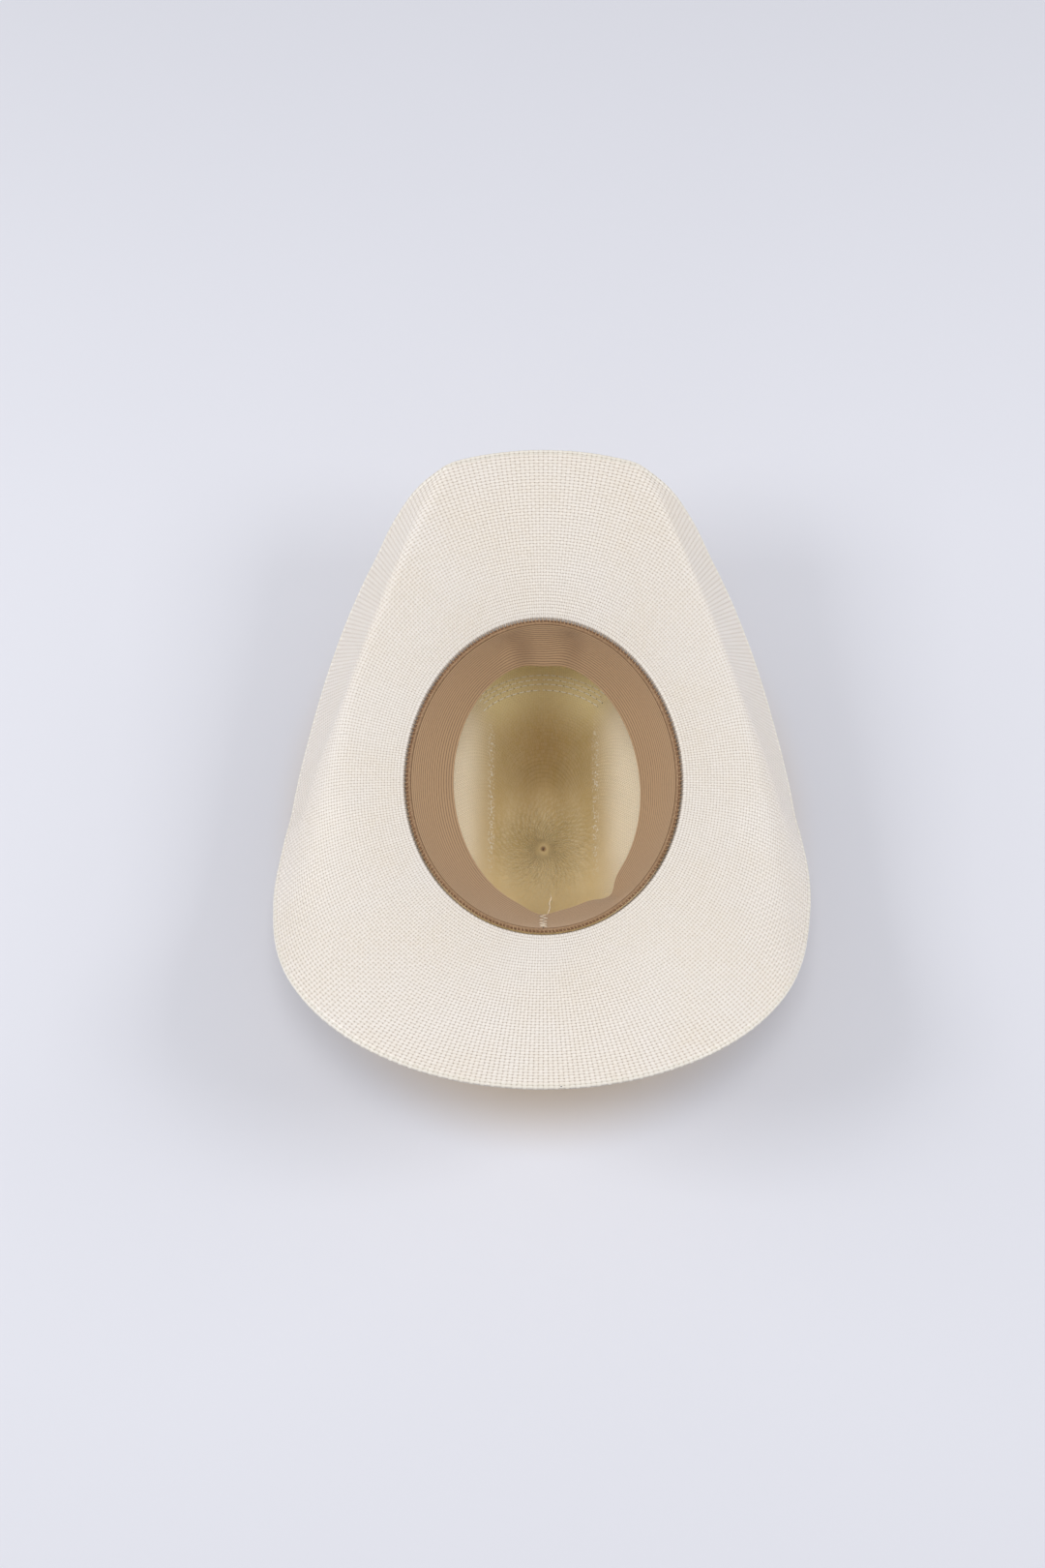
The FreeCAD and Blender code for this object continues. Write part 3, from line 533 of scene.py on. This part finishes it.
def ribbed_cloth_material():
    """Tan ribbed band: u runs along the ribs and v counts them."""
    n = Nodes("ribbed_cloth")
    u, v = n.uv()
    thread = n.math("SINE", n.times(u, 2 * math.pi))
    broad = n.noise(n.place(), 16.0, 3.0)
    fine = n.noise(n.vector(n.times(u, 0.35), n.times(v, 1.5)), 1.0, 3.0)
    # painted shade in the valleys between the ribs
    colour = n.mix(n.ramp(n.hump(v), 0.0, 0.75), RIB_VALLEY_SHADE, RIB_TOP)
    colour = n.mix(n.times(n.span(broad, 0.3, 0.75), 0.30), colour, RIB_WORN)
    colour = n.mix(n.times(n.span(fine, 0.35, 0.7), 0.25), colour, RIB_FADED)
    # painted shade in the two dents at the front, which are painted darker
    x, y = n.millimetres()
    for middle_x, middle_y in ((13.0, -90.0), (-19.0, -90.0)):
        away = n.length(n.minus(x, middle_x), n.minus(y, middle_y))
        dent_shade = n.times(n.flipped(n.ramp(away, 0.0, 12.0)), 0.42)
        colour = n.mix(dent_shade, colour, RIB_DENT_SHADE)
    n.bump(n.plus(n.times(thread, 0.35), n.times(fine, 0.5)), 0.00012)
    n.set(Sheen_Weight=0.25, Sheen_Roughness=0.5)
    return n.set(Base_Color=colour, Roughness=n.span(fine, 0.2, 0.8, 0.78, 0.95))


def thread_material(name, dark, light, twist=1600.0):
    """Twisted thread or cord, with fine slanting strands."""
    n = Nodes(name)
    place = n.place()
    strands = n.noise(place, twist)
    broad = n.noise(place, 60.0)
    colour = n.mix(n.span(strands, 0.35, 0.65), dark, light)
    colour = n.mix(n.times(n.span(broad, 0.4, 0.7), 0.3), colour, dark)
    n.bump(strands, 0.00015)
    return n.set(Base_Color=colour, Roughness=n.span(broad, 0.2, 0.8, 0.6, 0.85))


def leather_material():
    """Brown leather with a fine grain, rubbed paler in places."""
    n = Nodes("strap_leather")
    place = n.place()
    cells = n.add("ShaderNodeTexVoronoi", feature="DISTANCE_TO_EDGE")
    n.link(place, cells.inputs["Vector"])
    cells.inputs["Scale"].default_value = 900.0
    grain = n.span(cells.outputs["Distance"], 0.0, 0.25)
    broad = n.noise(place, 30.0, 4.0)
    wear = n.noise(place, 140.0, 5.0, 0.7)
    colour = n.mix(n.span(broad, 0.3, 0.75), LEATHER_DARK, LEATHER_LIGHT)
    colour = n.mix(n.times(n.span(wear, 0.55, 0.8), 0.4), colour, LEATHER_RUBBED)
    n.bump(n.plus(grain, n.times(wear, 0.6)), 0.00012)
    return n.set(Base_Color=colour, Roughness=n.span(wear, 0.3, 0.8, 0.38, 0.6))


def metal_material(name, colour):
    """Polished metal with fine scratches and duller patches."""
    n = Nodes(name)
    place = n.place()
    scratches = n.noise(place, 900.0, 4.0, 0.65)
    broad = n.noise(place, 120.0, 3.0)
    tone = n.mix(n.span(broad, 0.3, 0.7), colour, shade(colour, 0.82, 0.82, 0.82))
    n.bump(scratches, 0.00002)
    return n.set(Base_Color=tone, Metallic=1.0, Roughness=n.span(scratches, 0.3, 0.75, 0.16, 0.34))


def tape_material():
    """Thin tan tape with a fine cloth grain."""
    n = Nodes("cloth_tape")
    threads = n.noise(n.place(), 1500.0, 1.0)
    colour = n.mix(threads, TAPE_DARK, TAPE_LIGHT)
    n.bump(threads, 0.0001)
    return n.set(Base_Color=colour, Roughness=0.9)


# ---------------------------------------------------------------- woven straw body

STRANDS_ROUND = 416
COLUMNS = 2 * STRANDS_ROUND
STRAND_PITCH = 1.9
WEAVE_RELIEF = 0.17
CORNER_ROUNDING, CORNER_STEPS = 2.2, 6
STRAND_OFFSET = 0.25  # puts each strand's hump on a row or column of the mesh, which has two to a strand
LAST_TURN = math.radians(89.6)
angles = (np.arange(COLUMNS) + 0.5) * 2 * np.pi / COLUMNS
column_u = np.arange(COLUMNS + 1) / 2.0 + STRAND_OFFSET


def straw_rows():
    """Middle of the straw, row by row from the crown's woven centre to the edge of the brim.

    Also gives how many of the rows are on the crown.
    """
    turns = np.linspace(0.02, LAST_TURN, 900)
    side = crown_points(np.full_like(turns, 1.2), turns)
    length = np.concatenate([[0], np.cumsum(np.linalg.norm(np.diff(side, axis=0), axis=1))])
    wanted = np.arange(length[-1], CORNER_ROUNDING, -STRAND_PITCH / 2)
    crown_turns = np.interp(wanted, length, turns)
    rows = [crown_points(angles, np.full(COLUMNS, turn)) for turn in crown_turns]
    # rounded corner where the crown turns into the brim
    low, corner = rows[-1], crown_points(angles, np.zeros(COLUMNS))
    high = brim_points(angles, np.full(COLUMNS, CORNER_ROUNDING))
    for k in range(1, CORNER_STEPS):
        t = k / CORNER_STEPS
        rows.append(low * (1 - t) ** 2 + corner * 2 * t * (1 - t) + high * t * t)
    width = brim_width(angles) - HEM_RADIUS * 0.6
    steps = int(round((BRIM_WIDTH - CORNER_ROUNDING) / (STRAND_PITCH / 2)))
    for k in range(steps + 1):
        rows.append(brim_points(angles, CORNER_ROUNDING + (width - CORNER_ROUNDING) * k / steps))
    return np.stack(rows), len(crown_turns)


VENT_HEIGHTS = (53.0, 49.0, 45.0, 40.0)
VENT_PERIOD, VENT_STAGGER = 8, 4
VENT_COLUMNS = 72  # how far the vents run to each side of the front
VENT_STRANDS = (2, 7)  # columns of a period that are pale strands


def vent_masks(row_count, crown_rows, middle):
    """Quads left out for the vents, and quads of the pale strands between them, in rows across the front."""
    removed, strands = np.zeros((2, row_count - 1, COLUMNS), bool)
    heights = middle[:crown_rows, 0, 2]
    for level, height in enumerate(VENT_HEIGHTS):
        row = int(np.argmin(np.abs(heights - height)))
        for start in range(-VENT_COLUMNS + VENT_STAGGER * (level % 2), VENT_COLUMNS, VENT_PERIOD):
            column = start % COLUMNS
            removed[row, column] = True
            strands[row, column + VENT_STRANDS[0]:column + VENT_STRANDS[1]] = True
    return removed, strands


def make_straw_body():
    """Two faces of woven straw, closed at the vents, at the edge and at the woven centre."""
    middle, crown_rows = straw_rows()
    count = len(middle)
    normal = grid_normals(middle)
    row_v = np.arange(count + 1) / 2.0 + STRAND_OFFSET
    cell = (np.floor(column_u[:-1])[None, :] + np.floor(row_v[:-1])[:, None]) % 2
    # the strands stand out less in the crown and towards the front
    reach = np.hypot(middle[..., 0] / OPENING_HALF_WIDTH, (middle[..., 1] - TIP_SHIFT) / OPENING_HALF_LENGTH)
    relief = WEAVE_RELIEF * smooth(reach, 0.25, 1.2) * (0.6 + 0.7 * smooth(middle[..., 1], -60, 120))
    raised = (cell * 2 - 1) * relief
    half = STRAW_THICKNESS / 2
    inside = middle + normal * (half + raised)[..., None]
    outside = middle - normal * (half - raised)[..., None]
    removed, strands = vent_masks(count, crown_rows, middle)
    quads, r, c = grid_faces(count, COLUMNS)
    keep = ~removed[r, c]
    uv = grid_uv(r, c, column_u, row_v)
    offset = count * COLUMNS

    def wall(row, from_column, to_row, to_column):
        """Quad between the two faces, along one side of a quad."""
        p, q = row * COLUMNS + from_column % COLUMNS, to_row * COLUMNS + to_column % COLUMNS
        return [q, p, p + offset, q + offset]

    walls = []
    for row, column in zip(*np.nonzero(removed)):
        for (dr, dc), (a, b) in (((-1, 0), ((0, 0), (0, 1))), ((1, 0), ((1, 1), (1, 0))),
                                 ((0, -1), ((1, 0), (0, 0))), ((0, 1), ((0, 1), (1, 1)))):
            if not removed[row + dr, (column + dc) % COLUMNS]:
                walls.append(wall(row + a[0], column + a[1], row + b[0], column + b[1]))
    walls += [wall(0, column, 0, column + 1) for column in range(COLUMNS)]
    walls += [wall(count - 1, column, count - 1, column + 1)[::-1] for column in range(COLUMNS)]
    walls = np.array(walls)
    wall_uv = np.stack([walls % offset % COLUMNS, walls % offset // COLUMNS], -1) / 2.0 + STRAND_OFFSET
    faces = np.vstack([quads[keep], quads[keep][:, ::-1] + offset, walls])
    all_uv = np.concatenate([uv[keep], uv[keep][:, ::-1], wall_uv])
    body = new_object("woven_straw", np.concatenate([inside, outside]), faces, all_uv)
    # material 0 is on the brim's upper face here, 1 inside the crown, 2 on the vents' strands, 3 underneath
    upper = np.where(strands[r, c], 2, np.where(r < crown_rows, 1, 0))
    under = np.where(strands[r, c], 2, 3)
    index = np.concatenate([upper[keep], under[keep], np.zeros(len(walls), int)]).astype(np.int32)
    body.data.polygons.foreach_set("material_index", index)
    return body


straw = make_straw_body()
outer_straw = straw_material("outer_straw", OUTER_CREAM, OUTER_DARK_AND_SHADE)
brim_straw = straw_material("woven_straw", STRAW_CREAM, STRAW_DARK_AND_SHADE)
for finish in (brim_straw, crown_inside_material(), vent_painted_light_material(), outer_straw):
    straw.data.materials.append(finish)
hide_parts("straw_body")
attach(straw, "hat")

# ---------------------------------------------------------------- hem round the brim


HEM_SIDES = 14
HEM_HALF_WIDTH, HEM_HALF_HEIGHT = 1.75, 1.35
HEM_INSET = 3.0  # how far inside the edge its direction is taken
HEM_LUMPS = ((0.035, STRANDS_ROUND / 2), (0.02, 37))  # share of the size, and how many round the hat


def make_hem():
    """Straw folded over the wire: flatter than it is deep, and a little lumpy over each strand."""
    edge = brim_points(angles, brim_width(angles))
    inner = brim_points(angles, brim_width(angles) - HEM_INSET)
    outward = unit(edge - inner)
    along = unit(np.roll(edge, -1, 0) - np.roll(edge, 1, 0))
    up = unit(np.cross(outward, along))
    lump = 1.0
    for share, number in HEM_LUMPS:
        lump = lump + share * np.sin(angles * number)
    rows = []
    for turn in 2 * np.pi * np.arange(HEM_SIDES) / HEM_SIDES:
        ring = outward * (HEM_HALF_WIDTH * math.cos(turn)) + up * (HEM_HALF_HEIGHT * math.sin(turn))
        rows.append(edge + ring * lump[:, None])
    quads, r, c = grid_faces(HEM_SIDES, COLUMNS, True)
    uv = grid_uv(r, c, column_u, np.arange(HEM_SIDES + 1) / HEM_SIDES * 4.0)
    return new_object("brim_edge_hem", np.stack(rows), quads[:, ::-1], uv)


hem = make_hem()
hem.data.materials.append(straw_material("straw_hem", HEM_CREAM, HEM_DARK_AND_SHADE))
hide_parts("brim_hem")
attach(hem, "hat")

# ---------------------------------------------------------------- sweatband

BAND_COLUMNS = 720
RIB_COUNT, ROWS_PER_RIB = 19, 6
RIB_RELIEF = 0.22
BAND_HALF_THICKNESS = 0.45
BAND_EDGE_SHARE = 0.015  # the free edge rounds off over this share of the band's width
SEAM_GAP = 0.003  # radians left open on each side of the butt seam
THREADS_PER_COLUMN = 1.1
band_angles = np.linspace(np.pi, 3 * np.pi, BAND_COLUMNS)


def band_top(angle):
    """The sewn edge."""
    point, outward = opening(angle)
    top = point - outward * (STRAW_THICKNESS / 2 + 2 * REED_RADIUS)
    top[..., 2] = break_height(angle) - STANDING_OFFSET - REED_DROP
    return top


def bump(angle, middle, spread):
    """1 at an angle and falling to 0 beside it, both in degrees; angle is in radians."""
    away = (np.degrees(angle) - middle + 180.0) % 360.0 - 180.0
    return np.exp(-((away / spread) ** 2))


def band_free(angle):
    """The free edge, an oval that leans and ripples a little."""
    a, b = BAND_HALF_WIDTH_FREE, BAND_HALF_LENGTH_FREE
    sin, cos = np.sin(angle), np.cos(angle)
    point = np.stack([a * sin, BAND_FREE_SHIFT - b * cos, 0 * sin], -1)
    outward = unit(np.stack([b * sin, -a * cos, 0 * sin], -1))
    reach = BAND_LEAN_FRONT * cos + BAND_LEAN_SIDE * sin + BAND_SKEW * np.sin(2 * angle)
    for ripple, middle, spread in BAND_RIPPLES:
        reach = reach + ripple * bump(angle, middle, spread)
    point = point + outward * reach[..., None]
    point[..., 2] = break_height(angle) - STANDING_OFFSET - BAND_DROP
    return point


def band_point(angle, share):
    """Middle of the band, at a share of the way from its sewn edge to its free edge."""
    top, free = band_top(angle), band_free(angle)
    outward = opening(angle)[1]
    hollow = BAND_HOLLOW * math.sin(math.pi * share)
    # two soft dents near the front, deepest a little above the middle of the band
    depth = BAND_DENT_DEPTH * math.sin(math.pi * min(share * 1.1, 1.0)) ** 1.5
    for middle in BAND_DENTS:
        hollow = hollow + depth * bump(angle, middle, BAND_DENT_SPREAD)
    return top + (free - top) * share + outward * np.reshape(hollow, (-1, 1))


def band_normal(angle):
    down = unit(band_free(angle) - band_top(angle))
    round_ = unit(band_top(angle + 0.01) - band_top(angle - 0.01))
    return unit(np.cross(round_, down))


def make_sweatband():
    """Closed strip from one side of the butt seam to the other, ribbed on its inner face."""
    count = RIB_COUNT * ROWS_PER_RIB + 1
    use = np.clip(band_angles, np.pi + SEAM_GAP, 3 * np.pi - SEAM_GAP)
    normal = band_normal(use)
    front, back = [], []
    for k, share in enumerate(np.linspace(0, 1, count)):
        rib = RIB_RELIEF * (abs(math.sin(math.pi * k / ROWS_PER_RIB)) - 0.5)
        middle = band_point(use, share)
        past = max(share - (1 - BAND_EDGE_SHARE), 0) / BAND_EDGE_SHARE
        half = BAND_HALF_THICKNESS * math.sqrt(max(1 - past**2, 0.05))
        front.append(middle + normal * (half + rib))
        back.append(middle - normal * half)
    rows = np.stack(front + back[::-1])
    total = len(rows)
    r, c = [a.ravel() for a in np.meshgrid(np.arange(total), np.arange(BAND_COLUMNS - 1), indexing="ij")]
    near, far = r * BAND_COLUMNS + c, (r + 1) % total * BAND_COLUMNS + c
    quads = np.stack([near, near + 1, far + 1, far], -1)
    row_v = np.concatenate([np.arange(count), np.arange(count)[::-1], [0]]) / ROWS_PER_RIB
    uv = grid_uv(r, c, np.arange(BAND_COLUMNS + 1) * THREADS_PER_COLUMN, row_v)
    # the two ends of the strip, at the seam
    a = np.arange(count - 1)
    b = total - 1 - a
    ends = np.stack([a, a + 1, b - 1, b], -1) * BAND_COLUMNS
    faces = np.vstack([quads, ends, ends[:, ::-1] + BAND_COLUMNS - 1])
    end_uv = np.zeros((2 * len(ends), 4, 2))
    end_uv[..., 1] = 0.5
    return new_object("ribbed_sweatband", rows, faces, np.concatenate([uv, end_uv]))


band = make_sweatband()
band.data.materials.append(ribbed_cloth_material())
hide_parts("sweatband")
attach(band, "hat")


WELT_POINTS = 960
# distance outward and up from the sewn edge, radius, and sides
WELT_CLOTH = (0.95, 0.20, 0.95, 12)
WELT_CORD = (2.25, 0.45, 0.55, 10)
CORD_TWISTS, CORD_TWIST_DEPTH = 260, 0.06
WELT_TWIST = 900.0  # scale of the grain in its colour


def make_reed():
    """The reed in its turned-over cloth, with a dark brown cord between it and the straw, whose dark colour
    also paints the shade of the gap there.
    """
    angle = np.arange(WELT_POINTS) * 2 * np.pi / WELT_POINTS
    top, outward = band_top(angle), opening(angle)[1]
    twist = 1 + CORD_TWIST_DEPTH * np.sin(angle * CORD_TWISTS)
    parts = []
    for (reach, lift, radius, sides), swell in ((WELT_CLOTH, 1), (WELT_CORD, twist)):
        path = top + outward * reach + np.array([0, 0, lift])
        parts.append(tube_mesh(path, radius * swell, sides, closed=True))
    vertices, faces = joined(parts)
    welt = new_object("sweatband_welt", vertices, faces)
    # material 0 is on the cloth and 1 on the cord
    cord = np.arange(len(faces)) >= len(parts[0][1])
    welt.data.polygons.foreach_set("material_index", cord.astype(np.int32))
    return welt


reed = make_reed()
reed.data.materials.append(thread_material("welt_cloth", WELT_CLOTH_DARK, WELT_CLOTH_LIGHT, WELT_TWIST))
reed.data.materials.append(thread_material("brown_welt", WELT_CORD_AND_GAP_SHADE_DARK, WELT_CORD_AND_GAP_SHADE_LIGHT, WELT_TWIST))
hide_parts("sweatband_reed")
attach(reed, "hat")

# ---------------------------------------------------------------- stitches

STITCH_COUNT = 232
STITCH_LEAN = 2 * np.pi * 0.35 / STITCH_COUNT
STITCH_RADIUS = 0.27
# distance outward and up from the sewn edge, and share of the lean; the last point's distance varies
STITCH_PATH = ((0.9, 1.35, 0.0), (1.9, 1.55, 0.25), (2.9, 1.45, 0.6), (4.1, 1.40, 1.0))
THREAD_SIDES = 6
rng = np.random.default_rng(7)


def make_reed_stitches():
    """Slanting loops of thread over the reed, all the way round."""
    parts = []
    for k in range(STITCH_COUNT):
        angle = np.array([2 * np.pi * (k + rng.normal(0, 0.06)) / STITCH_COUNT])
        longer = rng.normal(0, 0.25)
        path = []
        for reach, lift, turn in STITCH_PATH:
            at = angle + STITCH_LEAN * turn
            if turn == 1.0:
                reach = reach + longer
            path.append((band_top(at) + opening(at)[1] * reach + np.array([0, 0, lift]))[0])
        parts.append(tube_mesh(path, STITCH_RADIUS, THREAD_SIDES))
    return new_object("whip_stitches", *joined(parts))


cream_thread = thread_material("cream_thread", CREAM_THREAD_DARK, CREAM_THREAD_LIGHT)
stitches = make_reed_stitches()
stitches.data.materials.append(thread_material("reed_thread", REED_THREAD_DARK, REED_THREAD_LIGHT))
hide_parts("reed_stitching")
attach(stitches, "hat")


ZIGZAG_COUNT, ZIGZAG_REACH, ZIGZAG_LIFT = 10, 2.4, 0.85
ZIGZAG_BOW = 0.25  # share of the lift by which a stretch of thread stands up in its middle
SEAM_THREAD_RADIUS = 0.26
SEAM_TAIL = (
    (-0.6, -1.5, -0.4), (-1.6, -4.2, 0.2), (-1.2, -7.4, 0.4), (-2.4, -10.6, -0.4), (-2.0, -13.6, -1.6),
)


def make_seam_stitches():
    """Zigzag over the butt seam, with the thread's short loose tail pointing to the middle of the crown."""
    back = np.array([np.pi])
    lift = band_normal(back)[0] * ZIGZAG_LIFT
    corners = []
    for k in range(ZIGZAG_COUNT + 1):
        reach = ZIGZAG_REACH + rng.normal(0, 0.3)
        place = band_point(back, 0.04 + 0.9 * k / ZIGZAG_COUNT)[0] + lift
        corners.append(place + np.array([reach if k % 2 else -reach, 0, 0]))
    path = []
    for a, b in zip(corners[:-1], corners[1:]):
        for t in (0.0, 0.2, 0.5, 0.8):
            path.append(a + (b - a) * t + lift * (math.sin(math.pi * t) * ZIGZAG_BOW))
    end = corners[-1]
    tail = [end] + [end + np.array(step) for step in SEAM_TAIL]
    parts = [tube_mesh(line, SEAM_THREAD_RADIUS, THREAD_SIDES) for line in (path + [end], tail)]
    return new_object("seam_zigzag", *joined(parts))


seam = make_seam_stitches()
seam.data.materials.append(cream_thread)
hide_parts("seam_stitches")
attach(seam, "hat")

# ---------------------------------------------------------------- pieces that keep their CAD shape

for node, material in (
    ("brim_wire", metal_material("steel_wire", WIRE_METAL)),
    ("wire_sleeve", metal_material("crimp_metal", SLEEVE_METAL)),
    ("seam_tape", tape_material()),
    ("hatband_strap", leather_material()),
    ("strap_billet", leather_material()),
    ("buckle_frame", metal_material("buckle_metal", BUCKLE_METAL)),
    ("buckle_pin", metal_material("pin_metal", BUCKLE_METAL)),
    ("buckle_prong", metal_material("prong_metal", BUCKLE_METAL)),
    ("keeper_loop", metal_material("keeper_metal", BUCKLE_METAL)),
    ("strap_tip", metal_material("tip_metal", BUCKLE_METAL)),
    ("hatband_tacks", thread_material("tack_thread", TACK_THREAD_DARK, TACK_THREAD_LIGHT)),
):
    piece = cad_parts[node]
    piece.data.materials.clear()
    piece.data.materials.append(material)

# ---------------------------------------------------------------- floor, light and camera


FLOOR_HALF_SIZE = 6.0
# the warm place under the brim is painted shadow, tinted warm by the light that comes through the straw
UNDER_BRIM = (178.0, 212.0)  # half width and half length of the warm place under the brim, in millimetres
LIGHT_TARGET = (0.0, 0.0, 0.1)
WORLD_STRENGTH = 0.36
CAMERA_LENS, CAMERA_SENSOR = 50.0, 36.0
CAMERA_TILT = 20.0  # degrees from straight down
CAMERA_DISTANCE = 1.361
CAMERA_SHIFT = (-0.01327, -0.00556)  # the hat sits a little right of and above the middle of the picture


def make_floor():
    """Plain pale floor, with painted shadow under the brim, tinted warm by the light that comes through the
    straw.
    """
    mesh = bpy.data.meshes.new("floor")
    corners = [(x * FLOOR_HALF_SIZE, y * FLOOR_HALF_SIZE, 0) for x, y in ((-1, -1), (1, -1), (1, 1), (-1, 1))]
    mesh.from_pydata(corners, [], [(0, 1, 2, 3)])
    floor = bpy.data.objects.new("floor", mesh)
    bpy.context.scene.collection.objects.link(floor)
    n = Nodes("floor")
    pale = n.mix(n.noise(n.place(), 3.0), FLOOR_DARK, FLOOR_LIGHT)
    reach = n.length(*[n.math("DIVIDE", axis, size) for axis, size in zip(n.millimetres(), UNDER_BRIM)])
    # painted warm shadow under the brim
    under = n.flipped(n.ramp(reach, 0.72, 1.06))
    mesh.materials.append(n.set(Base_Color=n.mix(under, pale, FLOOR_PAINTED_WARM_SHADE), Roughness=0.7))


def add_area(name, place, size, power, glossy=True):
    """Square area light that looks at the hat. One that isn't glossy makes no highlights."""
    light = bpy.data.lights.new(name, "AREA")
    light.size = size
    light.energy = power
    lamp = bpy.data.objects.new(name, light)
    lamp.visible_glossy = glossy
    bpy.context.scene.collection.objects.link(lamp)
    lamp.location = place
    lamp.rotation_euler = (Vector(LIGHT_TARGET) - Vector(place)).to_track_quat("-Z", "Y").to_euler()


def make_light():
    """Soft studio light: one lamp above, and on each side a lamp and a low, larger one."""
    world = bpy.data.worlds.new("studio")
    bpy.context.scene.world = world
    world.use_nodes = True
    background = world.node_tree.nodes["Background"]
    background.inputs["Color"].default_value = WORLD_COLOUR
    background.inputs["Strength"].default_value = WORLD_STRENGTH
    add_area("top", (0.0, 0.24, 2.1), 0.45, 8.6, glossy=False)
    for side, power in ((1.0, 11.0), (-1.0, 9.5)):
        add_area("side", (1.35 * side, 0.1, 1.5), 0.7, power)
        add_area("low", (2.7 * side, -0.6, 1.1), 1.4, power * 1.6)


def make_camera():
    """Above the hat's back, tilted towards its front, looking at the middle of the head opening."""
    data = bpy.data.cameras.new("camera")
    data.lens, data.sensor_width = CAMERA_LENS, CAMERA_SENSOR
    data.shift_x, data.shift_y = CAMERA_SHIFT
    camera = bpy.data.objects.new("camera", data)
    bpy.context.scene.collection.objects.link(camera)
    bpy.context.scene.camera = camera
    tilt = math.radians(CAMERA_TILT)
    height = (BREAK_HEIGHT - STANDING_OFFSET) * MM + CAMERA_DISTANCE * math.cos(tilt)
    camera.location = (0.0, CAMERA_DISTANCE * math.sin(tilt), height)
    camera.rotation_euler = (tilt, 0.0, math.pi)


make_floor()
make_light()
make_camera()
bpy.context.scene.view_settings.view_transform = "Standard"
